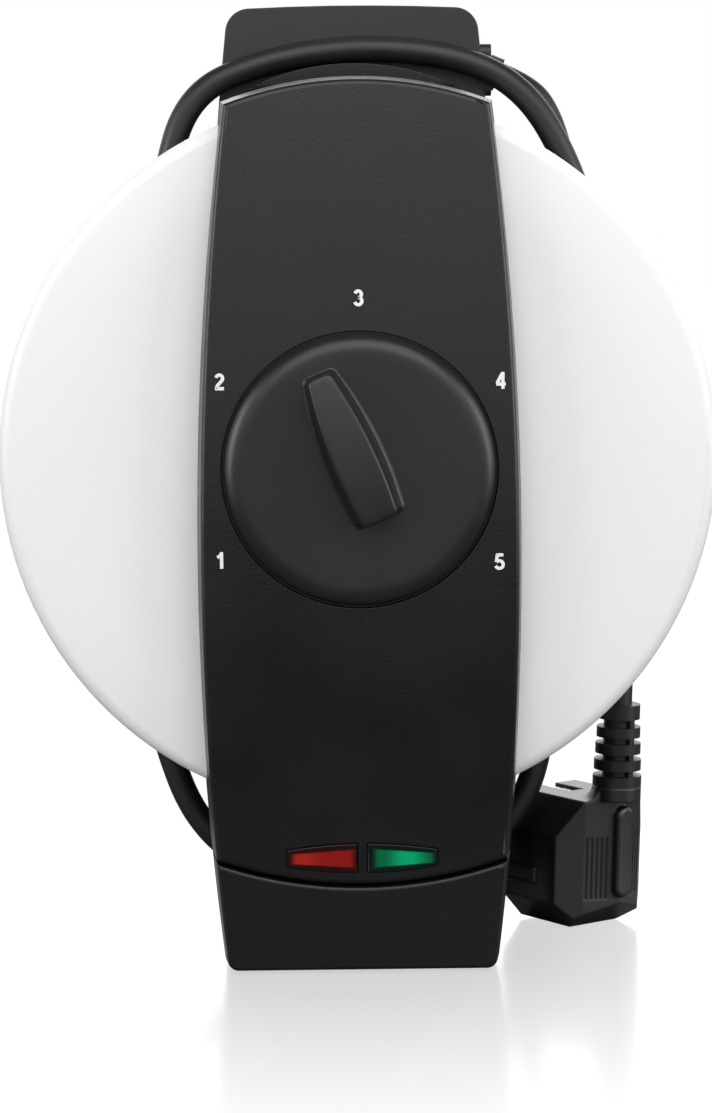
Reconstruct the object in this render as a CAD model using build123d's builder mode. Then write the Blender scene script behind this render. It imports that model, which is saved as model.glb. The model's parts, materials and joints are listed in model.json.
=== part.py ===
from build123d import *
import math
import os

os.makedirs("parts", exist_ok=True)

# A round hot-plate iron for thin syrup waffles, standing on its handle ends with the lid closed.
# X points right, Y away from the viewer and Z up. Sizes are in millimetres.
# A level is a distance in front of the parting plane between the two discs: the lid's levels are
# positive, the base's negative. A point on a level is given as (x, z) from the centre of the discs.

# Discs
DISC_R = 100.0
DISC_Z = DISC_R + 45.0
RIM_WIDE = 22.0
RIM_GAP = 1.0
SHELL_TOP = 24.0
SHELL_FLAT_R = DISC_R - RIM_WIDE
SHELL_DROP = 1.7
SHELL_EDGE = 4.0
SHELL_WALL = 1.0
SHELL_LIP = 4.0
NOTCH_HALF = 34.0
NOTCH_Z = DISC_R - 9.0

# Baking plates, heaters and heat shields
PLATE_R = DISC_R - RIM_WIDE
PLATE_THICK = 9.0
PLATE_FLANGE_R = PLATE_R + 4.0
PLATE_FLANGE_THICK = 2.5
GRID_PITCH = 8.0
GRID_GROOVE = 2.2
GRID_DEPTH = 1.2
GRID_R = PLATE_R - 4.0
RING_THICK = 1.4
RING_CLEAR = 1.0
HEATER_R = 3.25
HEATER_LOOP_R = 52.0
HEATER_ARC = 296.0
HEATER_LEG = 14.0
HEATER_BEND = 6.5
HEATER_LEG_CLEAR = 2.6
SHIELD_THICK = 0.6
SHIELD_LIP = 6.0
SHIELD_CLEAR = 0.35
PLATE_BOSS_R = 4.0
PLATE_BOSS_CIRCLE = HEATER_LOOP_R + 12.0

# Lid band, arched towards the viewer, and the handle ends
SEAT_LEVEL = 18.3
WAIST_HALF = 45.8
WAIST_Z = -27.0
BAND_END_HALF = 37.4
BAND_TOP_R = DISC_R + 5.5
BAND_SEAM_R = DISC_R + 18.4
SEAM_GAP = 0.9
BAND_WALL = 2.2
BAND_TAPER = 7.0
BAND_ROUND = 1.5
HANDLE_ROUND = 1.3
ARCH_LEVEL = 35.2
ARCH_Z = -18.0
ARCH_R = 1040.0
HANDLE_WALL = 2.5
HANDLE_RECESS = 1.0
HANDLE_CORNER = 4.0
HANDLE_PLATE = 2.0
LID_FOOT_GAP = 0.3
SEAT_CLEAR = 0.2
SLIDE_CLEAR = 0.3

# Knob, spindle and thermostat
KNOB_Z = -2.0
KNOB_R = 37.3
KNOB_THICK = 5.8
KNOB_BEVEL = 3.0
KNOB_GAP = 0.8
KNOB_LIFT = 0.3
RECESS_DEPTH = 2.8
POINTER_TURN = 23.0
POINTER_TIP = 28.2
POINTER_TAIL = 11.8
POINTER_TIP_HALF = 3.35
POINTER_MID_HALF = 4.8
POINTER_TAIL_HALF = 4.5
POINTER_HEIGHT = 11.8
POINTER_SKIRT = 2.0
SPINDLE_R = 3.0
SPINDLE_FLAT = 2.0
SPINDLE_DEPTH = 8.0
SPINDLE_TAIL = 7.0
SPINDLE_FIT = 0.05
CLIP_THICK = 0.6
CLIP_WIDE = 2.6
THERMOSTAT_SIDE = 26.0
THERMOSTAT_TALL = 10.4
BUSH_R = 4.0
BRACKET_THICK = 1.2
BRACKET_HALF = 22.0

# Indicator lamps
LAMP_Z = -DISC_R - 10.8
LENS_INNER = 1.4
LENS_OUTER = 21.0
LENS_MID_HALF = 4.25
LENS_END_HALF = 2.5
LENS_PROUD = 0.6
LENS_ROUND = 0.4
LENS_FLANGE = 0.7
LENS_FLANGE_THICK = 1.3
LENS_DEEP = 2.2
LENS_CLEAR = 0.15
LAMP_R = 2.0
LAMP_LONG = 12.0
LAMP_X = 9.0
LAMP_LEVEL = 24.0
HOLDER_HALF = 18.0
HOLDER_SIDE = 3.2

# Hinge
HINGE_Z = DISC_R - 1.0
HINGE_R = 5.0
PIN_R = 2.5
PIN_FIT = 0.05
PIN_HEAD_R = 3.8
PIN_HEAD = 1.2
KNUCKLE_HALF = 19.5
EAR_GAP = 0.5
EAR_WIDE = 8.0
HINGE_ARM = 6.0
HINGE_FOOT = 3.0
HINGE_FOOT_Z = DISC_R - 40.0
HINGE_STEP = 1.4
HINGE_SHOULDER_Z = DISC_R - 28.5

# Cord bridge on the back: two posts, a hollow band, its cover and the rubber feet
BRIDGE_FRONT = 37.0
BRIDGE_DEEP = 12.0
BRIDGE_WALL = 2.2
BRIDGE_HALF = 43.5
BRIDGE_SIDE_R = 1100.0
BRIDGE_TOP_Z = DISC_R + 27.5
BRIDGE_CROWN = 1.0
BRIDGE_CORNER = 7.0
COVER_THICK = 2.0
POST_WALL = 2.5
UPPER_POST_HALF = 26.0
UPPER_POST_LOW = DISC_R - 44.0
UPPER_POST_SHOULDER = DISC_R + 5.3
UPPER_POST_TOP = DISC_R + 10.4
LOWER_POST_HALF = 24.0
LOWER_POST_HIGH = 40.0 - DISC_R
LOWER_POST_LOW = -DISC_R - 23.0
FOOT_R = 6.0
FOOT_TALL = 3.0
FOOT_X = 28.0
FOOT_Z = DISC_R + 2.0

# Wiring
DUCT_Z = DISC_R - 16.0
DUCT_WIDE = 26.0
DUCT_TALL = 8.0
WIRE_R = 1.1
WIRE_X = (-9.0, -4.0, 1.0)
WIRE_BEND = 5.0
TERMINAL_LONG = 26.0
TERMINAL_TALL = 11.6
TERMINAL_DEEP = 8.0
TERMINAL_X = 6.0
CLAMP_X = 25.0
CLAMP_LONG = 6.0
CLAMP_TALL = 17.0
CONNECTOR_TALL = 8.0
CONNECTOR_DEEP = 7.0
FUSE_R = 2.0
FUSE_LONG = 12.0
FUSE_AT = (34.0, -20.0)
LID_WIRE_R = 0.9

# Fasteners
SCREW_R = 1.7
SCREW_HEAD_R = 3.2
SCREW_HEAD = 2.0
FLUSH_HEAD = 1.2
SCREW_FIT = 0.05
BOSS_R = 4.2
LID_SCREW_CLEAR = 1.55
LID_SCREW_TURN = 60.0
HINGE_SCREW_Z = DISC_R - 32.0
POST_SCREW_Z = 28.0 - DISC_R
COVER_SCREW_HIGH = DISC_R - 16.0
COVER_SCREW_LOW = -DISC_R - 25.0
HANDLE_SCREW_Z = -DISC_R - 28.0
LID_TAIL_SCREW_Z = -DISC_R - 4.0
BASE_TAIL_SCREW_Z = -DISC_R - 11.0
LID_HINGE_SCREWS = [(-12.0, HINGE_SCREW_Z), (12.0, HINGE_SCREW_Z)]
BASE_HINGE_SCREWS = [(-16.0, HINGE_SCREW_Z), (16.0, HINGE_SCREW_Z)]
BASE_POST_SCREWS = [(-16.0, POST_SCREW_Z), (16.0, POST_SCREW_Z)]
BASE_SHORT_SCREWS = [(-34.0, 18.0), (34.0, 18.0)]
COVER_SCREWS_HIGH = [(-31.0, COVER_SCREW_HIGH), (31.0, COVER_SCREW_HIGH)]
COVER_SCREWS_LOW = [(-28.5, COVER_SCREW_LOW), (28.5, COVER_SCREW_LOW)]
HANDLE_SCREWS = [(-24.0, HANDLE_SCREW_Z), (24.0, HANDLE_SCREW_Z)]
LID_TAIL_SCREWS = [(-30.0, LID_TAIL_SCREW_Z), (30.0, LID_TAIL_SCREW_Z)]
BASE_TAIL_SCREWS = [(-12.0, BASE_TAIL_SCREW_Z), (12.0, BASE_TAIL_SCREW_Z)]
PLATE_SCREW_LONG = 5.0
SHORT_SCREW_LONG = 5.0

# Mains lead
CORD_R = 3.75
GLAND_Z = DISC_R + 8.8
GLAND_REACH = 2.6
GLAND_TALL = 15.0
GLAND_DEEP = 10.0
GLAND_NECK_R = 4.6
GLAND_SNOUT = 4.0
GLAND_SNOUT_R = 4.9
GLAND_TILT = 22.0
GLAND_RUN = 9.0
RELIEF_R = 7.2
RELIEF_TOP_R = 6.2
RELIEF_CORE_R = 4.4
RELIEF_TALL = 24.3
RELIEF_COLLAR = 4.3
RELIEF_RING = 3.1
RELIEF_RINGS = 3
RELIEF_PITCH = 4.85
RELIEF_SPINE = 1.8
RELIEF_RUN = 12.0

# Plug: its ridge at the back, two panels beside it, then a broad facet and a flat side
PLUG_X = 75.2
PLUG_LEVEL = -26.5
PLUG_LIFT = 0.2
PLUG_TURN = 39.5
PLUG_LEAN = 1.8
PLUG_TALL = 39.0
PLUG_HALF = 17.8
PLUG_LONG = 32.0
PLUG_BACK = 3.0
PLUG_PANEL_DEEP = 4.2
PLUG_PANEL_HALF = 11.4
PLUG_CORNER_DEEP = 9.9
PLUG_TOP_TALL = 11.0
PLUG_TOP_WIDE = 6.3
PLUG_LOW_TALL = 8.0
PLUG_LOW_WIDE = 8.0
PLUG_HEEL_DEEP = 11.0
PLUG_NECK = 4.3
PLUG_FLARE = 4.4
PLUG_RIB_WIDE = 6.0
PLUG_RIB_PROUD = 1.8
PLUG_RIB_LOW = 9.8
PLUG_RIB_HIGH = 37.4
GROOVES = 5
GROOVE_PITCH = 1.5
GROOVE_WIDE = 0.6
GROOVE_DEEP = 0.5
GROOVE_INSET = 0.9
GROOVE_LOW = 9.5
GROOVE_TALL = 18.5
PLUG_RAIL_LOW = 13.2
PLUG_RAIL_LONG = 14.0
PLUG_RAIL_TALL = 4.4
PLUG_RAIL_PROUD = 0.8
CLIP_LONG = 12.0
CLIP_SLOT = 6.0
CLIP_STRIP = 0.8
CONTACT_R = 2.4
CONTACT_LONG = 19.0
CONTACT_SPACING = 19.0

# What follows from the sizes above
BASE_BACK = BRIDGE_FRONT + BRIDGE_DEEP + COVER_THICK + FOOT_TALL
RIM_LEVEL = RIM_GAP / 2
RING_LEVEL = RIM_LEVEL + SHELL_WALL
PLATE_BACK = RING_LEVEL + PLATE_THICK
FLANGE_LEVEL = RING_LEVEL + RING_THICK
FLANGE_BACK = FLANGE_LEVEL + PLATE_FLANGE_THICK
SHIELD_LEVEL = PLATE_BACK + 2 * HEATER_R + SHIELD_CLEAR
SHIELD_BACK = SHIELD_LEVEL + SHIELD_THICK
SHELL_INSIDE = SHELL_TOP - SHELL_WALL
SHIELD_R = PLATE_R + RING_CLEAR + SHIELD_THICK
LID_SCREW_CIRCLE = HEATER_LOOP_R + HEATER_R + SCREW_HEAD_R + LID_SCREW_CLEAR
COVER_SCREWS = COVER_SCREWS_HIGH + COVER_SCREWS_LOW
RECESS_LEVEL = ARCH_LEVEL - RECESS_DEPTH
CUP_LEVEL = RECESS_LEVEL - BAND_WALL
KNOB_BACK = RECESS_LEVEL + KNOB_LIFT
KNOB_FACE = KNOB_BACK + KNOB_THICK
LID_FRONT = KNOB_FACE + POINTER_HEIGHT
PARTING_Y = (LID_FRONT - BASE_BACK) / 2
BRIDGE_BACK = BRIDGE_FRONT + BRIDGE_DEEP
SIDE_R = ((WAIST_HALF - BAND_END_HALF) ** 2 + (BAND_TOP_R - 6.7 - WAIST_Z) ** 2) / (
    2 * (WAIST_HALF - BAND_END_HALF)
)
PARTING = Plane(origin=(0, PARTING_Y, DISC_Z), x_dir=(1, 0, 0), z_dir=(0, -1, 0))
DISC_AXIS = Axis((0, PARTING_Y, DISC_Z), (0, -1, 0))
SECTION = Plane(origin=(0, PARTING_Y, DISC_Z), x_dir=(1, 0, 0), z_dir=(0, 0, -1))
PROFILE = Plane(origin=(0, PARTING_Y, DISC_Z), x_dir=(0, -1, 0), z_dir=(-1, 0, 0))


def keep(piece, label):
    """Name a finished piece and write it out."""
    piece.part.label = label
    export_step(piece.part, f"parts/{label}.step")


def front(level, z=0.0):
    """The plane facing the viewer at a level, centred on the disc centre or z above it."""
    return Plane(origin=(0, PARTING_Y - level, DISC_Z + z), x_dir=(1, 0, 0), z_dir=(0, -1, 0))


def place(x, z, level):
    """A world point from its (x, z) about the disc centre and its level."""
    return (x, PARTING_Y - level, DISC_Z + z)


def half_width(z):
    """Half the width of the lid band and handles at a height."""
    return WAIST_HALF - SIDE_R + math.sqrt(SIDE_R**2 - (z - WAIST_Z) ** 2)


def bridge_half(z):
    """Half the width of the band on the back at a height."""
    return BRIDGE_HALF - BRIDGE_SIDE_R + math.sqrt(BRIDGE_SIDE_R**2 - z**2)


def arch(z):
    """Level of the band's arched face at a height."""
    return ARCH_LEVEL - ARCH_R + math.sqrt(ARCH_R**2 - (z - ARCH_Z) ** 2)


def meet(radius, end):
    """Corner of the side line with a circle about the disc centre; end is 1 above and -1 below."""
    z = end * radius
    for _ in range(30):
        z = end * math.sqrt(radius**2 - half_width(z) ** 2)
    return half_width(z), z


def dish(inset, low):
    """Half section of a shell's outside, drawn in by inset, from the level low."""
    radius = DISC_R - inset
    top = SHELL_TOP - inset
    with BuildSketch(SECTION) as half:
        with BuildLine():
            dome = ThreePointArc(
                (SHELL_FLAT_R, top),
                ((SHELL_FLAT_R + radius) / 2, top - SHELL_DROP / 4),
                (radius, top - SHELL_DROP),
            )
            Polyline(dome @ 1, (radius, low), (0, low), (0, top), dome @ 0)
        make_face()
        fillet(half.vertices().group_by(Axis.X)[-1].sort_by(Axis.Y)[-1], SHELL_EDGE - inset)
    return half.sketch


def front_face(plane, inset):
    """Outline of the lid band and handle together, from the top arc down to the foot."""
    top = meet(BAND_TOP_R, 1)
    low_z = LID_FOOT_GAP - DISC_Z
    low = (half_width(low_z), low_z)
    with BuildSketch(plane) as outline:
        with BuildLine():
            ThreePointArc((-top[0], top[1]), (0, BAND_TOP_R), top)
            ThreePointArc(top, (WAIST_HALF, WAIST_Z), low)
            Line(low, (-low[0], low[1]))
            ThreePointArc((-low[0], low[1]), (-WAIST_HALF, WAIST_Z), (-top[0], top[1]))
        make_face()
        fillet(outline.vertices().group_by(Axis.Y)[0], HANDLE_CORNER)
        if inset:
            offset(amount=-inset, mode=Mode.REPLACE)
    return outline.sketch


def handle_face(plane, inner_r, foot_gap, inset):
    """Outline of a handle end, from a circle about the disc centre down to the foot."""
    high = meet(inner_r, -1)
    low_z = foot_gap - DISC_Z
    low = (half_width(low_z), low_z)
    mid_z = (high[1] + low_z) / 2
    with BuildSketch(plane) as outline:
        with BuildLine():
            ThreePointArc(high, (0, -inner_r), (-high[0], high[1]))
            ThreePointArc((-high[0], high[1]), (-half_width(mid_z), mid_z), (-low[0], low[1]))
            Line((-low[0], low[1]), low)
            ThreePointArc(low, (half_width(mid_z), mid_z), high)
        make_face()
        fillet(outline.vertices().group_by(Axis.Y)[0], HANDLE_CORNER)
        if inset:
            offset(amount=-inset, mode=Mode.REPLACE)
    return outline.sketch


def bridge_face(plane, inset):
    """Outline of the band on the back, drawn in by inset: a crowned top, bowed sides, a flat foot."""
    top = BRIDGE_TOP_Z - BRIDGE_CROWN - inset
    low = inset - DISC_Z
    top_half = bridge_half(top) - inset
    low_half = bridge_half(low) - inset
    side = BRIDGE_HALF - inset
    with BuildSketch(plane) as outline:
        with BuildLine():
            ThreePointArc((-top_half, top), (0, top + BRIDGE_CROWN), (top_half, top))
            ThreePointArc((top_half, top), (side, 0), (low_half, low))
            Line((low_half, low), (-low_half, low))
            ThreePointArc((-low_half, low), (-side, 0), (-top_half, top))
        make_face()
        fillet(outline.vertices().group_by(Axis.Y)[-1], BRIDGE_CORNER - inset)
        fillet(outline.vertices().group_by(Axis.Y)[0], HANDLE_CORNER - inset)
    return outline.sketch


def arched(drop):
    """Side profile under the band's arched face, lowered by drop, for cutting a piece to it."""
    high, low = BAND_TOP_R + SHELL_LIP, -DISC_Z - SHELL_LIP
    with BuildSketch(PROFILE) as profile:
        with BuildLine():
            curve = ThreePointArc(
                (arch(high) - drop, high), (ARCH_LEVEL - drop, ARCH_Z), (arch(low) - drop, low)
            )
            Polyline(curve @ 1, (0, low), (0, high), curve @ 0)
        make_face()
    return profile.sketch


def dots(plane, points, radius):
    """A circle at each point of a plane."""
    with BuildSketch(plane) as circles:
        with Locations(*points):
            Circle(radius)
    return circles.sketch


def ring_of(radius, turns):
    """Points on a circle about the disc centre, at turns in degrees from the right."""
    angles = [math.radians(turn) for turn in turns]
    return [(radius * math.cos(angle), radius * math.sin(angle)) for angle in angles]


PLATE_BOSSES = ring_of(PLATE_BOSS_CIRCLE, (30, 150, 270))
LID_SCREWS = ring_of(LID_SCREW_CIRCLE, [sign * LID_SCREW_TURN for sign in (1, 2, -1, -2)])

# Both shells: a shallow dish with a rolled lip, notched at the top for the hinge
with BuildPart() as shell_blank:
    revolve(dish(0, RIM_LEVEL), axis=DISC_AXIS)
    revolve(dish(SHELL_WALL, RING_LEVEL), axis=DISC_AXIS, mode=Mode.SUBTRACT)
    with BuildSketch(PARTING):
        Circle(DISC_R - SHELL_LIP)
    extrude(amount=RING_LEVEL, mode=Mode.SUBTRACT)
    with BuildSketch(PARTING):
        with Locations((0, NOTCH_Z + DISC_R / 2)):
            Rectangle(2 * NOTCH_HALF, DISC_R)
    extrude(amount=SHELL_TOP, mode=Mode.SUBTRACT)

with BuildPart() as lid_shell:
    add(shell_blank.part)
    with BuildSketch(front(SHELL_TOP, KNOB_Z)):
        Rectangle(THERMOSTAT_SIDE + 2 * KNOB_GAP, THERMOSTAT_SIDE + 2 * KNOB_GAP)
    extrude(amount=-2 * SHELL_WALL, mode=Mode.SUBTRACT)
    extrude(dots(front(SHELL_TOP), LID_SCREWS + LID_HINGE_SCREWS, SCREW_R + SCREW_FIT),
            amount=-2 * SHELL_WALL, mode=Mode.SUBTRACT)
keep(lid_shell, "lid_shell")

with BuildPart() as base_shell:
    mirror(shell_blank.part, about=PARTING)
    base_holes = BASE_HINGE_SCREWS + BASE_POST_SCREWS + BASE_SHORT_SCREWS
    extrude(
        dots(front(-SHELL_TOP), base_holes, SCREW_R + SCREW_FIT),
        amount=2 * SHELL_WALL,
        mode=Mode.SUBTRACT,
    )
    with BuildSketch(front(-SHELL_TOP, DUCT_Z)):
        Rectangle(DUCT_WIDE, DUCT_TALL)
    extrude(amount=2 * SHELL_WALL, mode=Mode.SUBTRACT)
keep(base_shell, "base_shell")

# Trim rings: each lies on its shell's lip and closes the gap round the plate
with BuildPart() as lid_ring:
    with BuildSketch(front(RING_LEVEL)):
        Circle(DISC_R - SHELL_WALL - SLIDE_CLEAR)
        Circle(PLATE_R + RING_CLEAR, mode=Mode.SUBTRACT)
        with Locations((0, NOTCH_Z + DISC_R / 2)):
            Rectangle(2 * NOTCH_HALF, DISC_R, mode=Mode.SUBTRACT)
    extrude(amount=RING_THICK)
keep(lid_ring, "lid_ring")

with BuildPart() as base_ring:
    mirror(lid_ring.part, about=PARTING)
keep(base_ring, "base_ring")

# Baking plates, engraved with the square waffle grid and drilled for their screws
grid_count = 2 * round(GRID_R / GRID_PITCH) + 1
with BuildPart() as upper_plate:
    with BuildSketch(front(RING_LEVEL)):
        Circle(PLATE_R)
    extrude(amount=PLATE_THICK)
    with BuildSketch(front(FLANGE_LEVEL)):
        Circle(PLATE_FLANGE_R)
    extrude(amount=PLATE_FLANGE_THICK)
    extrude(dots(front(PLATE_BACK), PLATE_BOSSES, PLATE_BOSS_R), amount=SHIELD_LEVEL - PLATE_BACK)
    extrude(
        dots(front(SHIELD_LEVEL), PLATE_BOSSES, SCREW_R + SCREW_FIT),
        amount=-PLATE_SCREW_LONG,
        mode=Mode.SUBTRACT,
    )
    with BuildSketch(front(RING_LEVEL)):
        with GridLocations(GRID_PITCH, 0, grid_count, 1):
            Rectangle(GRID_GROOVE, 2 * GRID_R)
        with GridLocations(0, GRID_PITCH, 1, grid_count):
            Rectangle(2 * GRID_R, GRID_GROOVE)
        Circle(GRID_R, mode=Mode.INTERSECT)
    extrude(amount=GRID_DEPTH, mode=Mode.SUBTRACT)
keep(upper_plate, "upper_plate")

with BuildPart() as lower_plate:
    mirror(upper_plate.part, about=PARTING)
keep(lower_plate, "lower_plate")

# Tubular heaters: most of a circle against the plate's back, with two legs turned up
heater_level = PLATE_BACK + HEATER_R + SPINDLE_FIT
leg_turn = math.radians(270 - (360 - HEATER_ARC) / 2)
leg_start = (HEATER_LOOP_R * math.cos(leg_turn), HEATER_LOOP_R * math.sin(leg_turn))
leg_end = (
    leg_start[0] - HEATER_LEG * math.sin(leg_turn),
    leg_start[1] + HEATER_LEG * math.cos(leg_turn),
)
leg_rise = SHELL_INSIDE - heater_level - RECESS_DEPTH / 4
with BuildPart() as upper_heater:
    with BuildLine(front(heater_level)) as heater_path:
        FilletPolyline(
            (-leg_end[0], leg_end[1], leg_rise),
            (-leg_end[0], leg_end[1], 0),
            (-leg_start[0], leg_start[1], 0),
            radius=HEATER_BEND,
        )
        ThreePointArc((-leg_start[0], leg_start[1], 0), (0, HEATER_LOOP_R, 0), (*leg_start, 0))
        FilletPolyline(
            (*leg_start, 0), (*leg_end, 0), (*leg_end, leg_rise), radius=HEATER_BEND
        )
    with BuildSketch(Plane(origin=heater_path.wires()[0] @ 0, z_dir=heater_path.wires()[0] % 0)):
        Circle(HEATER_R)
    sweep(path=heater_path.wires()[0])
keep(upper_heater, "upper_heater")

with BuildPart() as lower_heater:
    mirror(upper_heater.part, about=PARTING)
keep(lower_heater, "lower_heater")

# Heat shields: a pan over each heater whose lip rests on the plate's flange
with BuildPart() as shield_blank:
    with BuildSketch(SECTION):
        with BuildLine():
            Polyline(
                (0, SHIELD_BACK),
                (SHIELD_R, SHIELD_BACK),
                (SHIELD_R, FLANGE_BACK + SHIELD_THICK),
                (SHIELD_R + SHIELD_LIP, FLANGE_BACK + SHIELD_THICK),
                (SHIELD_R + SHIELD_LIP, FLANGE_BACK),
                (SHIELD_R - SHIELD_THICK, FLANGE_BACK),
                (SHIELD_R - SHIELD_THICK, SHIELD_LEVEL),
                (0, SHIELD_LEVEL),
                close=True,
            )
        make_face()
    revolve(axis=DISC_AXIS)
    legs = [(-leg_end[0], leg_end[1]), leg_end]
    extrude(
        dots(front(SHIELD_LEVEL), legs, HEATER_R + HEATER_LEG_CLEAR),
        amount=SHIELD_THICK,
        mode=Mode.SUBTRACT,
    )
    extrude(
        dots(front(SHIELD_LEVEL), PLATE_BOSSES, SCREW_R + SCREW_FIT),
        amount=SHIELD_THICK,
        mode=Mode.SUBTRACT,
    )

with BuildPart() as upper_heat_shield:
    add(shield_blank.part)
    extrude(
        dots(front(SHIELD_LEVEL), LID_SCREWS, SCREW_R + SCREW_FIT),
        amount=SHIELD_THICK,
        mode=Mode.SUBTRACT,
    )
keep(upper_heat_shield, "upper_heat_shield")

with BuildPart() as lower_heat_shield:
    mirror(shield_blank.part, about=PARTING)
keep(lower_heat_shield, "lower_heat_shield")


def screws(points, level, reach, head=SCREW_HEAD):
    """Pan-head screws with their heads on a level; reach is the shank, negative towards the back."""
    away = -math.copysign(1, reach)
    with BuildPart() as group:
        extrude(dots(front(level), points, SCREW_R), amount=reach)
        extrude(dots(front(level), points, SCREW_HEAD_R), amount=away * head)
        heads = group.faces().filter_by(Axis.Y).group_by(Axis.Y)[0 if away > 0 else -1]
        fillet(heads.edges(), head / 4)
    return group


def sleeves(points, level, tall):
    """Spacer sleeves standing on a level."""
    with BuildPart() as group:
        extrude(dots(front(level), points, BOSS_R), amount=tall)
        extrude(dots(front(level), points, SCREW_R + SCREW_FIT), amount=tall, mode=Mode.SUBTRACT)
    return group


spacer = SHELL_INSIDE - SHIELD_BACK
keep(screws(PLATE_BOSSES, SHIELD_BACK, -PLATE_SCREW_LONG), "upper_plate_screws")
keep(screws(PLATE_BOSSES, -SHIELD_BACK, PLATE_SCREW_LONG), "lower_plate_screws")
keep(sleeves(LID_SCREWS, SHIELD_BACK, spacer), "lid_spacers")
base_spacer_points = BASE_POST_SCREWS + BASE_SHORT_SCREWS
keep(sleeves(base_spacer_points, -SHIELD_BACK, -spacer), "base_spacers")

# The arched front of the lid, before the seam parts it into band and handle
with BuildPart() as front_form:
    extrude(front_face(front(SEAT_LEVEL), 0), amount=ARCH_LEVEL - SEAT_LEVEL + 1, taper=BAND_TAPER)
    extrude(arched(0), amount=2 * WAIST_HALF, both=True, mode=Mode.INTERSECT)

with BuildPart() as disc_form:
    revolve(dish(-SEAT_CLEAR, 0), axis=DISC_AXIS)

band_bosses = LID_SCREWS + LID_TAIL_SCREWS
with BuildPart() as band_hollow:
    extrude(
        front_face(front(SEAT_LEVEL), BAND_WALL), amount=ARCH_LEVEL - SEAT_LEVEL, taper=BAND_TAPER
    )
    extrude(arched(BAND_WALL), amount=2 * WAIST_HALF, both=True, mode=Mode.INTERSECT)
    with BuildSketch(front(SEAT_LEVEL)):
        Circle(BAND_SEAM_R - BAND_WALL)
    extrude(amount=ARCH_LEVEL, mode=Mode.INTERSECT)
    extrude(dots(front(SEAT_LEVEL), band_bosses, BOSS_R), amount=ARCH_LEVEL, mode=Mode.SUBTRACT)
    with BuildSketch(front(CUP_LEVEL, KNOB_Z)):
        Circle(KNOB_R + KNOB_GAP + BAND_WALL)
    extrude(amount=ARCH_LEVEL, mode=Mode.SUBTRACT)


def lens_face(plane, side, grow):
    """Outline of one lamp lens; side is -1 on the left and 1 on the right."""
    rise = LENS_MID_HALF - LENS_END_HALF
    bow = (LENS_OUTER**2 + rise**2) / (2 * rise)

    def half(x):
        return LENS_MID_HALF - bow + math.sqrt(bow**2 - x**2)

    inner, middle, outer = LENS_INNER, (LENS_INNER + LENS_OUTER) / 2, LENS_OUTER
    with BuildSketch(plane) as outline:
        with BuildLine():
            ThreePointArc(
                (side * inner, half(inner)), (side * middle, half(middle)), (side * outer, half(outer))
            )
            Line((side * outer, half(outer)), (side * outer, -half(outer)))
            ThreePointArc(
                (side * outer, -half(outer)),
                (side * middle, -half(middle)),
                (side * inner, -half(inner)),
            )
            Line((side * inner, -half(inner)), (side * inner, half(inner)))
        make_face()
        if grow:
            offset(amount=grow, kind=Kind.INTERSECTION, mode=Mode.REPLACE)
    return outline.sketch


with BuildPart() as lid_band:
    add(front_form.part)
    with BuildSketch(front(SEAT_LEVEL)):
        Circle(BAND_SEAM_R)
    extrude(amount=ARCH_LEVEL, mode=Mode.INTERSECT)
    fillet(lid_band.faces().sort_by(Axis.Y)[0].edges(), BAND_ROUND)
    add(band_hollow.part, mode=Mode.SUBTRACT)
    add(disc_form.part, mode=Mode.SUBTRACT)
    with BuildSketch(front(RECESS_LEVEL, KNOB_Z)):
        Circle(KNOB_R + KNOB_GAP)
    extrude(amount=ARCH_LEVEL, mode=Mode.SUBTRACT)
    with BuildSketch(front(CUP_LEVEL, KNOB_Z)):
        Circle(BUSH_R + SLIDE_CLEAR)
    extrude(amount=ARCH_LEVEL, mode=Mode.SUBTRACT)
    extrude(
        dots(front(SEAT_LEVEL), band_bosses, SCREW_R + SCREW_FIT),
        amount=ARCH_LEVEL - SEAT_LEVEL - 2 * BAND_WALL - SHELL_EDGE,
        mode=Mode.SUBTRACT,
    )
    for lamp_side in (-1, 1):
        extrude(
            lens_face(front(SEAT_LEVEL, LAMP_Z), lamp_side, LENS_CLEAR),
            amount=ARCH_LEVEL,
            mode=Mode.SUBTRACT,
        )
keep(lid_band, "lid_band")

# Lid handle: a hollow root under the band's tail, and below the seam a front as arched as the band
root_inner = DISC_R + SLIDE_CLEAR
with BuildPart() as lid_handle:
    add(front_form.part)
    with BuildSketch(front(SEAT_LEVEL)):
        Circle(BAND_SEAM_R + SEAM_GAP)
    extrude(amount=ARCH_LEVEL, mode=Mode.SUBTRACT)
    extrude(arched(HANDLE_RECESS), amount=2 * WAIST_HALF, both=True, mode=Mode.INTERSECT)
    fillet(lid_handle.faces().sort_by(Axis.Y)[0].edges(), HANDLE_ROUND)
    extrude(
        handle_face(front(RIM_LEVEL), root_inner, LID_FOOT_GAP, 0), amount=SEAT_LEVEL - RIM_LEVEL
    )
    extrude(
        handle_face(front(RIM_LEVEL), root_inner, LID_FOOT_GAP, HANDLE_WALL),
        amount=SEAT_LEVEL - RIM_LEVEL - HANDLE_WALL,
        mode=Mode.SUBTRACT,
    )
    extrude(
        dots(front(RIM_LEVEL + HANDLE_PLATE), HANDLE_SCREWS, BOSS_R),
        amount=SEAT_LEVEL - RIM_LEVEL - HANDLE_PLATE - HANDLE_WALL,
    )
    extrude(
        dots(front(RIM_LEVEL), HANDLE_SCREWS, SCREW_R + SCREW_FIT),
        amount=SEAT_LEVEL - RIM_LEVEL - HANDLE_WALL,
        mode=Mode.SUBTRACT,
    )
    extrude(
        dots(front(RIM_LEVEL), LID_TAIL_SCREWS, SCREW_R + SCREW_FIT),
        amount=SEAT_LEVEL - RIM_LEVEL,
        mode=Mode.SUBTRACT,
    )
keep(lid_handle, "lid_handle")

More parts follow.
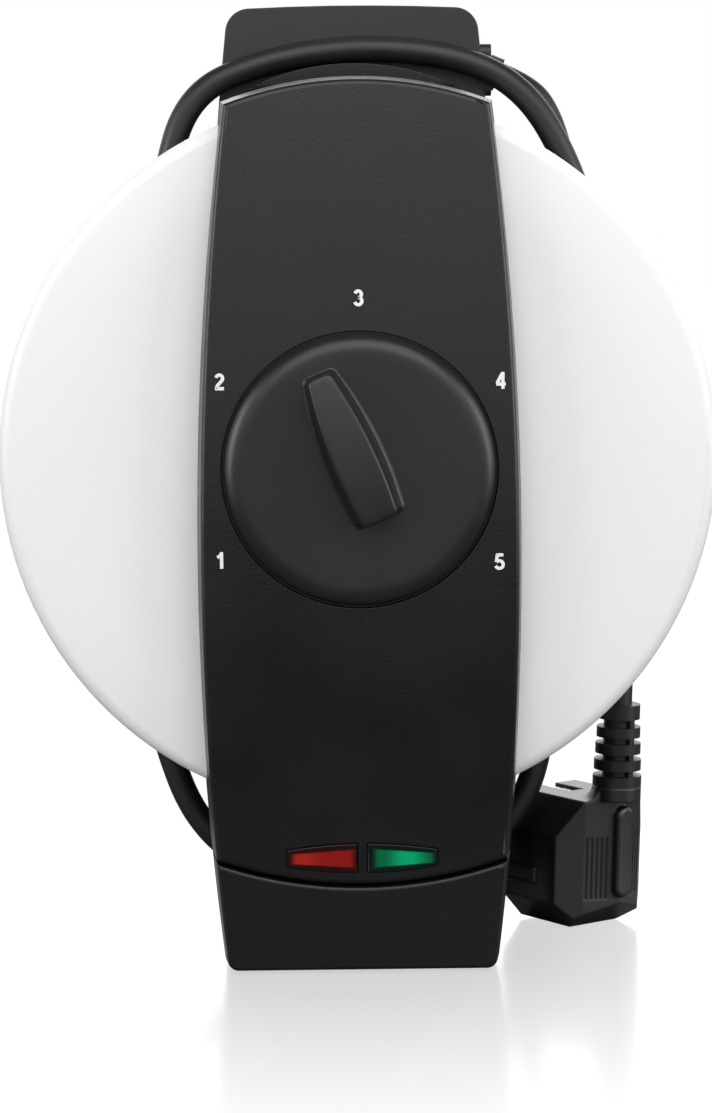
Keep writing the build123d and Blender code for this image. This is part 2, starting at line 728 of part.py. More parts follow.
with BuildPart() as lid_handle_plate:
    extrude(
        handle_face(front(RIM_LEVEL), root_inner, LID_FOOT_GAP, HANDLE_WALL + LENS_CLEAR),
        amount=HANDLE_PLATE,
    )
    extrude(
        dots(front(RIM_LEVEL), HANDLE_SCREWS, SCREW_HEAD_R + SCREW_FIT),
        amount=FLUSH_HEAD,
        mode=Mode.SUBTRACT,
    )
    extrude(
        dots(front(RIM_LEVEL), HANDLE_SCREWS, SCREW_R + SCREW_FIT),
        amount=HANDLE_PLATE,
        mode=Mode.SUBTRACT,
    )
keep(lid_handle_plate, "lid_handle_plate")

# Base handle: the foot that the iron stands on, closed by a plate towards the lid
with BuildPart() as base_handle:
    extrude(handle_face(front(-RIM_LEVEL), root_inner, 0, 0), amount=RIM_LEVEL - SHELL_TOP)
    extrude(
        handle_face(front(-RIM_LEVEL), root_inner, 0, HANDLE_WALL),
        amount=RIM_LEVEL - SHELL_TOP + HANDLE_WALL,
        mode=Mode.SUBTRACT,
    )
    extrude(
        dots(front(-RIM_LEVEL - HANDLE_PLATE), HANDLE_SCREWS, BOSS_R),
        amount=RIM_LEVEL + HANDLE_PLATE + HANDLE_WALL - SHELL_TOP,
    )
    extrude(
        dots(front(-RIM_LEVEL), HANDLE_SCREWS, SCREW_R + SCREW_FIT),
        amount=RIM_LEVEL + HANDLE_WALL - SHELL_TOP,
        mode=Mode.SUBTRACT,
    )
    extrude(
        dots(front(-RIM_LEVEL), BASE_TAIL_SCREWS, SCREW_R + SCREW_FIT),
        amount=RIM_LEVEL - SHELL_TOP,
        mode=Mode.SUBTRACT,
    )
keep(base_handle, "base_handle")

with BuildPart() as base_handle_plate:
    extrude(
        handle_face(front(-RIM_LEVEL), root_inner, 0, HANDLE_WALL + LENS_CLEAR),
        amount=-HANDLE_PLATE,
    )
    extrude(
        dots(front(-RIM_LEVEL), HANDLE_SCREWS, SCREW_HEAD_R + SCREW_FIT),
        amount=-FLUSH_HEAD,
        mode=Mode.SUBTRACT,
    )
    extrude(
        dots(front(-RIM_LEVEL), HANDLE_SCREWS, SCREW_R + SCREW_FIT),
        amount=-HANDLE_PLATE,
        mode=Mode.SUBTRACT,
    )
keep(base_handle_plate, "base_handle_plate")

# Knob: a bevelled disc sunk in the band's recess, with a pointer bar
pointer_turn = math.radians(POINTER_TURN)
pointer_plane = Plane(
    origin=place(0, KNOB_Z, KNOB_FACE),
    x_dir=(math.cos(pointer_turn), 0, math.sin(pointer_turn)),
    z_dir=(0, -1, 0),
)
with BuildPart() as knob:
    with BuildSketch(front(KNOB_BACK, KNOB_Z)):
        Circle(KNOB_R)
    extrude(amount=KNOB_THICK)
    chamfer(knob.edges().group_by(Axis.Y)[0], KNOB_BEVEL)
    with BuildSketch(pointer_plane):
        tip = (POINTER_TIP_HALF + POINTER_SKIRT, POINTER_TIP + POINTER_SKIRT)
        tail = (POINTER_TAIL_HALF + POINTER_SKIRT, -POINTER_TAIL - POINTER_SKIRT)
        side = POINTER_MID_HALF + POINTER_SKIRT
        with BuildLine():
            ThreePointArc(tip, (side, 0), tail)
            Line(tail, (-tail[0], tail[1]))
            ThreePointArc((-tail[0], tail[1]), (-side, 0), (-tip[0], tip[1]))
            Line((-tip[0], tip[1]), tip)
        make_face()
    pointer_taper = math.degrees(math.atan(POINTER_SKIRT / POINTER_HEIGHT))
    extrude(amount=POINTER_HEIGHT, taper=pointer_taper)
    fillet(knob.faces().sort_by(Axis.Y)[0].edges(), POINTER_SKIRT / 3)
    with BuildSketch(front(KNOB_BACK, KNOB_Z)):
        Circle(SPINDLE_R + SPINDLE_FIT)
    extrude(amount=SPINDLE_DEPTH, mode=Mode.SUBTRACT)
keep(knob, "knob")

with BuildPart() as knob_spindle:
    with BuildSketch(front(KNOB_BACK + SPINDLE_DEPTH, KNOB_Z)):
        Circle(SPINDLE_R)
    extrude(amount=-SPINDLE_DEPTH - THERMOSTAT_TALL)
    with BuildSketch(front(KNOB_BACK, KNOB_Z)):
        with Locations((SPINDLE_FLAT + SPINDLE_R / 2, 0)):
            Rectangle(SPINDLE_R, 2 * SPINDLE_R)
    extrude(amount=SPINDLE_DEPTH, mode=Mode.SUBTRACT)
keep(knob_spindle, "knob_spindle")

with BuildPart() as knob_clip:
    with BuildSketch(front(KNOB_BACK, KNOB_Z)):
        with Locations((SPINDLE_FLAT + CLIP_THICK / 2, 0)):
            Rectangle(CLIP_THICK, CLIP_WIDE)
    extrude(amount=SPINDLE_DEPTH - CLIP_THICK)
keep(knob_clip, "knob_clip")

# Thermostat on its bracket, standing through the lid shell under the knob
with BuildPart() as thermostat_bracket:
    with BuildSketch(front(SHIELD_BACK, KNOB_Z)):
        Rectangle(2 * BRACKET_HALF, THERMOSTAT_SIDE * 2 / 3)
    extrude(amount=BRACKET_THICK)
keep(thermostat_bracket, "thermostat_bracket")

with BuildPart() as thermostat:
    with BuildSketch(front(SHIELD_BACK + BRACKET_THICK, KNOB_Z)):
        RectangleRounded(THERMOSTAT_SIDE, THERMOSTAT_SIDE, BUSH_R)
    extrude(amount=THERMOSTAT_TALL)
    with BuildSketch(front(SHIELD_BACK + BRACKET_THICK + THERMOSTAT_TALL, KNOB_Z)):
        Circle(BUSH_R)
    extrude(amount=BAND_WALL + SLIDE_CLEAR)
    with BuildSketch(front(RECESS_LEVEL, KNOB_Z)):
        Circle(SPINDLE_R + SPINDLE_FIT)
    extrude(amount=KNOB_BACK - RECESS_LEVEL - THERMOSTAT_TALL - SLIDE_CLEAR, mode=Mode.SUBTRACT)
keep(thermostat, "thermostat")

with BuildPart() as thermal_fuse:
    fuse_level = SHIELD_BACK + FUSE_R + SPINDLE_FIT
    with BuildSketch(
        Plane(origin=place(*FUSE_AT, fuse_level), x_dir=(0, 1, 0), z_dir=(1, 0, 0))
    ):
        Circle(FUSE_R)
    extrude(amount=FUSE_LONG / 2, both=True)
    chamfer(thermal_fuse.edges().group_by(Axis.X)[-1], FUSE_R / 4)
keep(thermal_fuse, "thermal_fuse")

# Lamp lenses, held in the band's windows by flanges behind its wall, and the lamps behind them
flange_front = arch(LAMP_Z - LENS_MID_HALF) - BAND_WALL - LENS_CLEAR
for lamp_side, lens_name in ((-1, "red_lens"), (1, "green_lens")):
    with BuildPart() as lens:
        lens_base = front(flange_front - LENS_DEEP, LAMP_Z)
        extrude(lens_face(lens_base, lamp_side, 0), amount=ARCH_LEVEL)
        extrude(arched(-LENS_PROUD), amount=2 * WAIST_HALF, both=True, mode=Mode.INTERSECT)
        fillet(lens.faces().sort_by(Axis.Y)[0].edges(), LENS_ROUND)
        flange_plane = front(flange_front - LENS_FLANGE_THICK, LAMP_Z)
        extrude(lens_face(flange_plane, lamp_side, LENS_FLANGE), amount=LENS_FLANGE_THICK)
    keep(lens, lens_name)

with BuildPart() as lamp_holder:
    with BuildSketch(front(SEAT_LEVEL, LAMP_Z)):
        Rectangle(2 * HOLDER_HALF, 2 * HOLDER_SIDE)
    extrude(amount=LAMP_LEVEL - SEAT_LEVEL)
    with BuildSketch(Plane(origin=place(0, LAMP_Z, LAMP_LEVEL), x_dir=(0, 1, 0), z_dir=(1, 0, 0))):
        Circle(LAMP_R + SPINDLE_FIT)
    extrude(amount=HOLDER_HALF, both=True, mode=Mode.SUBTRACT)
keep(lamp_holder, "lamp_holder")

with BuildPart() as indicator_lamps:
    for lamp_x in (-LAMP_X, LAMP_X):
        with BuildSketch(
            Plane(origin=place(lamp_x, LAMP_Z, LAMP_LEVEL), x_dir=(0, 1, 0), z_dir=(1, 0, 0))
        ):
            Circle(LAMP_R)
        extrude(amount=LAMP_LONG / 2, both=True)
keep(indicator_lamps, "indicator_lamps")

# Two leads from the thermostat to the lamp holder, along the lid shell inside the band
wire_level = SHELL_TOP + SEAT_CLEAR + LID_WIRE_R
wire_high = KNOB_Z - THERMOSTAT_SIDE / 2 - SLIDE_CLEAR
wire_low = LAMP_Z + HOLDER_SIDE
with BuildPart() as lid_wiring:
    for wire_side in (-1, 1):
        with BuildLine(front(wire_level)) as wire_path:
            FilletPolyline(
                (wire_side * BUSH_R, wire_high),
                (wire_side * 3 * BUSH_R, (wire_high + wire_low) / 2),
                (wire_side * 2 * BUSH_R, wire_low),
                radius=5 * WIRE_BEND,
            )
        with BuildSketch(Plane(origin=wire_path.wires()[0] @ 0, z_dir=wire_path.wires()[0] % 0)):
            Circle(LID_WIRE_R)
        sweep(path=wire_path.wires()[0])
keep(lid_wiring, "lid_wiring")

# Hinge: an angle bracket in each shell, the lid's with one knuckle and the base's with two ears
ear_inner = KNUCKLE_HALF + EAR_GAP
ear_outer = ear_inner + EAR_WIDE
foot_back = SHELL_INSIDE - HINGE_FOOT
arm_inner = HINGE_Z - HINGE_ARM


def hinge_profile():
    """Side view of a hinge bracket, from its foot under the shell to its knuckle."""
    with BuildSketch(PROFILE) as side_view:
        with BuildLine():
            Polyline(
                (foot_back, HINGE_FOOT_Z),
                (SHELL_INSIDE, HINGE_FOOT_Z),
                (SHELL_INSIDE, HINGE_SHOULDER_Z),
                (SHELL_INSIDE - HINGE_STEP, HINGE_SHOULDER_Z + HINGE_STEP),
                (SHELL_INSIDE - HINGE_STEP, HINGE_Z),
                (0, HINGE_Z),
                (0, arm_inner),
                (foot_back, arm_inner),
                close=True,
            )
        make_face()
        with Locations((0, HINGE_Z)):
            Circle(HINGE_R)
    return side_view.sketch


def pin_hole(radius):
    """Section of the hinge pin, or of a hole for it."""
    with BuildSketch(PROFILE) as hole:
        with Locations((0, HINGE_Z)):
            Circle(radius)
    return hole.sketch


with BuildPart() as lid_hinge:
    extrude(hinge_profile(), amount=KNUCKLE_HALF, both=True)
    extrude(pin_hole(PIN_R + PIN_FIT), amount=KNUCKLE_HALF, both=True, mode=Mode.SUBTRACT)
    extrude(
        dots(front(foot_back), LID_HINGE_SCREWS, SCREW_R + SCREW_FIT),
        amount=HINGE_FOOT,
        mode=Mode.SUBTRACT,
    )
keep(lid_hinge, "lid_hinge")

with BuildPart() as base_hinge:
    with BuildPart(mode=Mode.PRIVATE) as facing:
        extrude(hinge_profile(), amount=ear_outer, both=True)
    mirror(facing.part, about=PARTING)
    extrude(pin_hole(PIN_R), amount=ear_outer, both=True, mode=Mode.SUBTRACT)
    with BuildSketch(front(-SHELL_TOP)):
        with Locations((0, arm_inner - KNOB_GAP + DISC_R / 2)):
            Rectangle(2 * ear_inner, DISC_R)
    extrude(amount=SHELL_TOP + 2 * HINGE_R, mode=Mode.SUBTRACT)
    extrude(
        dots(front(-foot_back), BASE_HINGE_SCREWS, SCREW_R + SCREW_FIT),
        amount=-HINGE_FOOT,
        mode=Mode.SUBTRACT,
    )
    with BuildSketch(front(-SHELL_INSIDE, DUCT_Z)):
        Rectangle(DUCT_WIDE, DUCT_TALL)
    extrude(amount=HINGE_FOOT, mode=Mode.SUBTRACT)
keep(base_hinge, "base_hinge")

with BuildPart() as hinge_pin:
    extrude(pin_hole(PIN_R), amount=ear_outer, both=True)
    for pin_side in (-1, 1):
        with BuildSketch(
            Plane(
                origin=place(pin_side * ear_outer, HINGE_Z, 0), x_dir=(0, 1, 0), z_dir=(pin_side, 0, 0)
            )
        ):
            Circle(PIN_HEAD_R)
        extrude(amount=PIN_HEAD)
keep(hinge_pin, "hinge_pin")

# Posts between the base shell and the cord bridge; the cord winds round their outer ends
post_long = BRIDGE_FRONT - SHELL_TOP
with BuildPart() as upper_post:
    with BuildSketch(front(-SHELL_TOP)):
        with BuildLine():
            ThreePointArc(
                (-UPPER_POST_HALF, UPPER_POST_SHOULDER),
                (0, UPPER_POST_TOP),
                (UPPER_POST_HALF, UPPER_POST_SHOULDER),
            )
            Polyline(
                (UPPER_POST_HALF, UPPER_POST_SHOULDER),
                (UPPER_POST_HALF, UPPER_POST_LOW),
                (-UPPER_POST_HALF, UPPER_POST_LOW),
                (-UPPER_POST_HALF, UPPER_POST_SHOULDER),
            )
        make_face()
    extrude(amount=-post_long)
    hollow_tall = UPPER_POST_SHOULDER - UPPER_POST_LOW - 2 * POST_WALL
    with BuildSketch(front(-SHELL_TOP, UPPER_POST_LOW + POST_WALL + hollow_tall / 2)):
        Rectangle(2 * UPPER_POST_HALF - 2 * POST_WALL, hollow_tall)
    extrude(amount=POST_WALL - post_long, mode=Mode.SUBTRACT)
    extrude(dots(front(-SHELL_TOP), BASE_HINGE_SCREWS, BOSS_R), amount=-post_long)
    extrude(
        dots(front(-SHELL_TOP), BASE_HINGE_SCREWS, SCREW_R + SCREW_FIT),
        amount=-post_long,
        mode=Mode.SUBTRACT,
    )
    with BuildSketch(front(-SHELL_TOP, DUCT_Z)):
        Rectangle(DUCT_WIDE, DUCT_TALL)
    extrude(amount=-post_long, mode=Mode.SUBTRACT)
keep(upper_post, "upper_post")

lower_post_tall = LOWER_POST_HIGH - LOWER_POST_LOW
lower_post_mid = (LOWER_POST_HIGH + LOWER_POST_LOW) / 2
lower_post_holes = BASE_POST_SCREWS + BASE_TAIL_SCREWS
with BuildPart() as lower_post:
    with BuildSketch(front(-SHELL_TOP, lower_post_mid)):
        Rectangle(2 * LOWER_POST_HALF, lower_post_tall)
    extrude(amount=-post_long)
    fillet(lower_post.edges().filter_by(Axis.Y).group_by(Axis.Z)[0], 2 * HANDLE_CORNER)
    with BuildSketch(front(-SHELL_TOP, lower_post_mid)):
        RectangleRounded(
            2 * LOWER_POST_HALF - 2 * POST_WALL, lower_post_tall - 2 * POST_WALL, HANDLE_CORNER
        )
    extrude(amount=POST_WALL - post_long, mode=Mode.SUBTRACT)
    extrude(dots(front(-SHELL_TOP), lower_post_holes, BOSS_R), amount=-post_long)
    extrude(
        dots(front(-SHELL_TOP), lower_post_holes, SCREW_R + SCREW_FIT),
        amount=-post_long,
        mode=Mode.SUBTRACT,
    )
keep(lower_post, "lower_post")

# Cord bridge: a hollow band as tall as the iron, closed by a cover with four rubber feet
bridge_floor = BRIDGE_FRONT + BRIDGE_WALL
gland_level = -BRIDGE_FRONT - BRIDGE_DEEP / 2
gland_x = bridge_half(GLAND_Z)


def across(x, z, level):
    """The plane facing right at a point, with its own X pointing away from the viewer."""
    return Plane(origin=place(x, z, level), x_dir=(0, 1, 0), z_dir=(1, 0, 0))


with BuildPart() as cord_bridge:
    extrude(bridge_face(front(-BRIDGE_FRONT), 0), amount=-BRIDGE_DEEP)
    extrude(
        bridge_face(front(-bridge_floor), BRIDGE_WALL),
        amount=BRIDGE_WALL - BRIDGE_DEEP,
        mode=Mode.SUBTRACT,
    )
    extrude(dots(front(-bridge_floor), COVER_SCREWS, BOSS_R), amount=BRIDGE_WALL - BRIDGE_DEEP)
    extrude(
        dots(front(-BRIDGE_BACK), COVER_SCREWS, SCREW_R + SCREW_FIT),
        amount=BRIDGE_DEEP - BRIDGE_WALL,
        mode=Mode.SUBTRACT,
    )
    extrude(
        dots(front(-BRIDGE_FRONT), BASE_HINGE_SCREWS + BASE_POST_SCREWS, SCREW_R + SCREW_FIT),
        amount=-BRIDGE_WALL,
        mode=Mode.SUBTRACT,
    )
    with BuildSketch(front(-BRIDGE_FRONT, DUCT_Z)):
        Rectangle(DUCT_WIDE, DUCT_TALL)
    extrude(amount=-BRIDGE_WALL, mode=Mode.SUBTRACT)
    with BuildSketch(across(gland_x + GLAND_REACH, GLAND_Z, gland_level)):
        Circle(GLAND_NECK_R + SCREW_FIT)
    extrude(amount=-3 * BRIDGE_WALL - GLAND_REACH, mode=Mode.SUBTRACT)
keep(cord_bridge, "cord_bridge")

with BuildPart() as bridge_cover:
    extrude(bridge_face(front(-BRIDGE_BACK), 0), amount=-COVER_THICK)
    extrude(
        dots(front(-BRIDGE_BACK), COVER_SCREWS, SCREW_R + SCREW_FIT),
        amount=-COVER_THICK,
        mode=Mode.SUBTRACT,
    )
keep(bridge_cover, "bridge_cover")

feet_points = [(x, z) for x in (-FOOT_X, FOOT_X) for z in (-FOOT_Z, FOOT_Z)]
with BuildPart() as rubber_feet:
    extrude(dots(front(-BRIDGE_BACK - COVER_THICK), feet_points, FOOT_R), amount=-FOOT_TALL)
    fillet(rubber_feet.edges().group_by(Axis.Y)[-1], FOOT_TALL / 3)
keep(rubber_feet, "rubber_feet")

# Screws
keep(screws(LID_SCREWS, SHIELD_LEVEL, ARCH_LEVEL - SHIELD_LEVEL - 4 * BAND_WALL), "lid_screws")
keep(screws(LID_HINGE_SCREWS, SHELL_TOP, -SHELL_WALL - HINGE_FOOT), "lid_hinge_screws")
lid_tail_head = SEAT_LEVEL - HANDLE_WALL
keep(screws(LID_TAIL_SCREWS, lid_tail_head, HANDLE_WALL + SHORT_SCREW_LONG), "lid_tail_screws")
keep(
    screws(HANDLE_SCREWS, RIM_LEVEL + FLUSH_HEAD, SHORT_SCREW_LONG, FLUSH_HEAD), "lid_handle_screws"
)
keep(
    screws(HANDLE_SCREWS, -RIM_LEVEL - FLUSH_HEAD, -SHORT_SCREW_LONG, FLUSH_HEAD),
    "base_handle_screws",
)
keep(
    screws(BASE_TAIL_SCREWS, HANDLE_WALL - SHELL_TOP, -HANDLE_WALL - SHORT_SCREW_LONG),
    "base_tail_screws",
)
with BuildPart() as bridge_screws:
    add(screws(BASE_HINGE_SCREWS, -bridge_floor, bridge_floor - foot_back).part)
    add(screws(BASE_POST_SCREWS, -bridge_floor, bridge_floor - SHIELD_BACK - SCREW_HEAD).part)
keep(bridge_screws, "bridge_screws")
keep(screws(BASE_SHORT_SCREWS, -SHELL_TOP, SHORT_SCREW_LONG), "base_shell_screws")
keep(screws(COVER_SCREWS, -BRIDGE_BACK - COVER_THICK, COVER_THICK + SHORT_SCREW_LONG), "cover_screws")

# Inside the cord bridge: the lead's clamp, the terminal block and the wires to the plates
lead_end = gland_x - 3 * BRIDGE_WALL
gland_tilt = math.radians(GLAND_TILT)
snout_base = (gland_x + GLAND_REACH / 2, GLAND_Z)
snout_plane = Plane(
    origin=place(*snout_base, gland_level),
    x_dir=(0, 1, 0),
    z_dir=(math.cos(gland_tilt), 0, -math.sin(gland_tilt)),
)


def snout_point(along):
    """A point on the axis of the gland's snout, as (x, z, level)."""
    x = snout_base[0] + along * math.cos(gland_tilt)
    return (x, snout_base[1] - along * math.sin(gland_tilt), gland_level)


with BuildPart() as cord_gland:
    with BuildSketch(across(gland_x - BRIDGE_WALL, GLAND_Z, gland_level)):
        RectangleRounded(GLAND_DEEP, GLAND_TALL, GLAND_DEEP / 4)
    extrude(amount=BRIDGE_WALL + GLAND_REACH)
    with BuildSketch(snout_plane):
        Circle(GLAND_SNOUT_R)
    extrude(amount=GLAND_SNOUT)
    extrude(bridge_face(front(-BRIDGE_FRONT), 0), amount=-BRIDGE_DEEP, mode=Mode.SUBTRACT)
    with BuildSketch(across(lead_end, GLAND_Z, gland_level)):
        Circle(GLAND_NECK_R)
    extrude(amount=gland_x - lead_end + GLAND_REACH / 2)
keep(cord_gland, "cord_gland")

with BuildPart() as inner_lead:
    with BuildSketch(across(lead_end, GLAND_Z, gland_level)):
        Circle(CORD_R)
    extrude(amount=TERMINAL_X - lead_end)
keep(inner_lead, "inner_lead")

with BuildPart() as cord_clamp:
    with BuildSketch(front(-bridge_floor, GLAND_Z)):
        with Locations((CLAMP_X, 0)):
            Rectangle(CLAMP_LONG, CLAMP_TALL)
    extrude(amount=BRIDGE_WALL + SEAT_CLEAR - BRIDGE_DEEP)
    with BuildSketch(across(CLAMP_X, GLAND_Z, gland_level)):
        Circle(CORD_R + SCREW_FIT)
        with Locations((-BRIDGE_DEEP / 4, 0)):
            Rectangle(BRIDGE_DEEP / 2, 2 * CORD_R + 2 * SCREW_FIT)
    extrude(amount=CLAMP_LONG, both=True, mode=Mode.SUBTRACT)
keep(cord_clamp, "cord_clamp")

with BuildPart() as terminal_block:
    with BuildSketch(front(-bridge_floor, GLAND_Z)):
        with Locations((TERMINAL_X - TERMINAL_LONG / 2, 0)):
            Rectangle(TERMINAL_LONG, TERMINAL_TALL)
    extrude(amount=-TERMINAL_DEEP)
keep(terminal_block, "terminal_block")

wire_lane = -bridge_floor - TERMINAL_DEEP / 2
with BuildPart() as base_wiring:
    for wire_x in WIRE_X:
        wire_points = [
            place(wire_x, GLAND_Z - TERMINAL_TALL / 2, wire_lane),
            place(wire_x, DUCT_Z, wire_lane),
            place(wire_x, DUCT_Z, -foot_back),
        ]
        with BuildLine() as base_wire:
            FilletPolyline(*wire_points, radius=WIRE_BEND)
        with BuildSketch(Plane(origin=wire_points[0], z_dir=(0, 0, -1))):
            Circle(WIRE_R)
        sweep(path=base_wire.wires()[0])
keep(base_wiring, "base_wiring")

with BuildPart() as plate_connector:
    with BuildSketch(front(-foot_back)):
        with Locations((0, DUCT_Z + SCREW_R)):
            Rectangle(DUCT_WIDE + 2 * WIRE_R, DUCT_TALL + WIRE_R)
    extrude(amount=CONNECTOR_DEEP)
keep(plate_connector, "plate_connector")

# The plug's own frame: it stands a little leaning, its contacts pointing back and left
plug_turn = math.radians(PLUG_TURN)
plug_lean = math.radians(PLUG_LEAN)
plug_foot = place(PLUG_X, PLUG_LIFT - DISC_Z, PLUG_LEVEL)
plug_up = (math.sin(plug_lean), 0, math.cos(plug_lean))
plug_ahead = (
    -math.sin(plug_turn) * math.cos(plug_lean),
    math.cos(plug_turn),
    math.sin(plug_turn) * math.sin(plug_lean),
)
relief_low = PLUG_TALL + PLUG_NECK
relief_top = relief_low + RELIEF_TALL


def neck_point(height):
    """A point on the axis of the plug's neck, as (x, z, level)."""
    x = PLUG_X + height * math.sin(plug_lean)
    return (x, PLUG_LIFT + height * math.cos(plug_lean) - DISC_Z, PLUG_LEVEL)


# Mains lead: out of the gland, down the right side, under the lower post, up the left side, over
# the upper post and down the right side again to the plug. Each point is its distance outside the
# disc's edge, its turn in degrees from the right, and its level.
lead_wrap = [
    (12.6, 59.3, -43.1),
    (2.9, 52.8, -43.5),
    (-9.8, 43.4, -44.0),
    (-25.3, 25.4, -44.0),
    (-33.6, -6.5, -42.0),
    (-23.9, -35.0, -37.5),
    (-3.9, -54.1, -32.8),
    (19.0, -64.8, -30.6),
    (30.5, -77.0, -30.5),
    (34.0, -89.0, -30.5),
    (31.8, -101.0, -30.5),
    (23.6, -112.5, -30.5),
    (3.6, -124.0, -30.8),
    (-18.9, -141.7, -31.2),
    (-32.8, -175.0, -31.5),
    (-24.9, 147.7, -31.3),
    (-6.9, 126.7, -31.0),
    (12.9, 115.2, -31.0),
    (14.6, 102.3, -31.0),
    (15.6, 88.1, -31.0),
    (16.9, 73.7, -31.0),
    (14.0, 63.6, -31.0),
    (3.2, 52.7, -31.2),
    (-9.0, 39.7, -31.5),
    (-19.6, 17.4, -31.8),
    (-18.7, -8.5, -32.0),
    (-9.5, -28.4, -31.8),
]
lead_route = [snout_point(GLAND_SNOUT), snout_point(GLAND_SNOUT + GLAND_RUN)]
for outside, turn, level in lead_wrap:
    lead_route.append((*ring_of(DISC_R + outside, [turn])[0], level))
lead_route += [neck_point(relief_top + RELIEF_RUN), neck_point(relief_top)]
lead_points = [Vector(place(*point)) for point in lead_route]
lead_runs = [b - a for a, b in zip(lead_points, lead_points[1:])]
lead_radii = []
for before, after in zip(lead_runs, lead_runs[1:]):
    half_turn = math.radians(before.get_angle(after)) / 2
    lead_radii.append(0.45 * min(before.length, after.length) / math.tan(half_turn))
with BuildPart() as power_cord:
    with BuildLine() as lead_path:
        FilletPolyline(*lead_points, radius=lead_radii)
    with BuildSketch(Plane(origin=lead_points[0], z_dir=lead_runs[0])):
        Circle(CORD_R)
    sweep(path=lead_path.wires()[0])
keep(power_cord, "power_cord")
lead_length = lead_path.wires()[0].length
print("lead route", [tuple(round(value, 3) for value in point) for point in lead_route])
print("lead runs", [round(run.length, 1) for run in lead_runs])
print("lead radii", [round(radius, 1) for radius in lead_radii], "least", round(min(lead_radii), 1))
lead_volume = math.pi * CORD_R**2 * lead_length
print("lead length", round(lead_length, 1), "volume ratio", power_cord.part.volume / lead_volume)

# Plug, standing on the floor on its flat end, and the ribbed relief on its neck
def plug_plan(height):
    """The plane across the plug's neck at a height, with its X along the contacts."""
    return Plane(origin=plug_foot, x_dir=plug_ahead, z_dir=plug_up).offset(height)


def plug_section(along):
    """The plane across the contacts at a distance ahead of the neck, with its Y up."""
    across_plug = Plane(origin=plug_foot, x_dir=plug_ahead, z_dir=plug_up).y_dir
    return Plane(origin=plug_foot, x_dir=across_plug, z_dir=plug_ahead).offset(along)


def plug_outline(height):
    """Outline of the plug seen from above: a ridge, two panels, two facets, two sides, a flat face."""
    corners = [(PLUG_PANEL_DEEP, PLUG_PANEL_HALF), (PLUG_CORNER_DEEP, PLUG_HALF), (PLUG_LONG, PLUG_HALF)]
    corners += [(along, -across) for along, across in reversed(corners)]
    with BuildSketch(plug_plan(height)) as outline:
        with Locations((ridge, 0)):
            Polygon((0, 0), *corners, align=None)
    return outline.sketch


ridge = -PLUG_BACK
plug_front = ridge + PLUG_LONG
top_half = PLUG_HALF - PLUG_TOP_WIDE
low_half = PLUG_HALF - PLUG_LOW_WIDE
neck_side = Plane(origin=plug_foot, x_dir=plug_ahead, z_dir=plug_plan(0).y_dir)
with BuildPart() as plug_neck:
    with BuildSketch(neck_side):
        with BuildLine():
            flare = ThreePointArc(
                (-RELIEF_R, -relief_low),
                (-RELIEF_R - PLUG_FLARE / 4, -PLUG_TALL - PLUG_NECK / 3),
                (-RELIEF_R - PLUG_FLARE, -PLUG_TALL),
            )
            Polyline(flare @ 1, (0, -PLUG_TALL), (0, -relief_low), flare @ 0)
        make_face()
    revolve(axis=Axis(plug_foot, plug_up))
    extrude(plug_outline(PLUG_TALL), amount=PLUG_NECK, mode=Mode.INTERSECT)
    with BuildSketch(plug_plan(PLUG_TALL)):
        Circle(RELIEF_R)
    extrude(amount=PLUG_NECK)

with BuildPart() as plug_rib:
    with BuildSketch(plug_section(ridge - PLUG_RIB_PROUD)):
        with Locations((0, (PLUG_RIB_LOW + PLUG_RIB_HIGH) / 2)):
            SlotOverall(PLUG_RIB_HIGH - PLUG_RIB_LOW, PLUG_RIB_WIDE, rotation=90)
    extrude(amount=PLUG_RIB_PROUD + PLUG_PANEL_DEEP)
    rib_back = plug_rib.faces().sort_by(Axis(plug_foot, plug_ahead))[0]
    fillet(rib_back.edges(), PLUG_RIB_PROUD * 2 / 3)

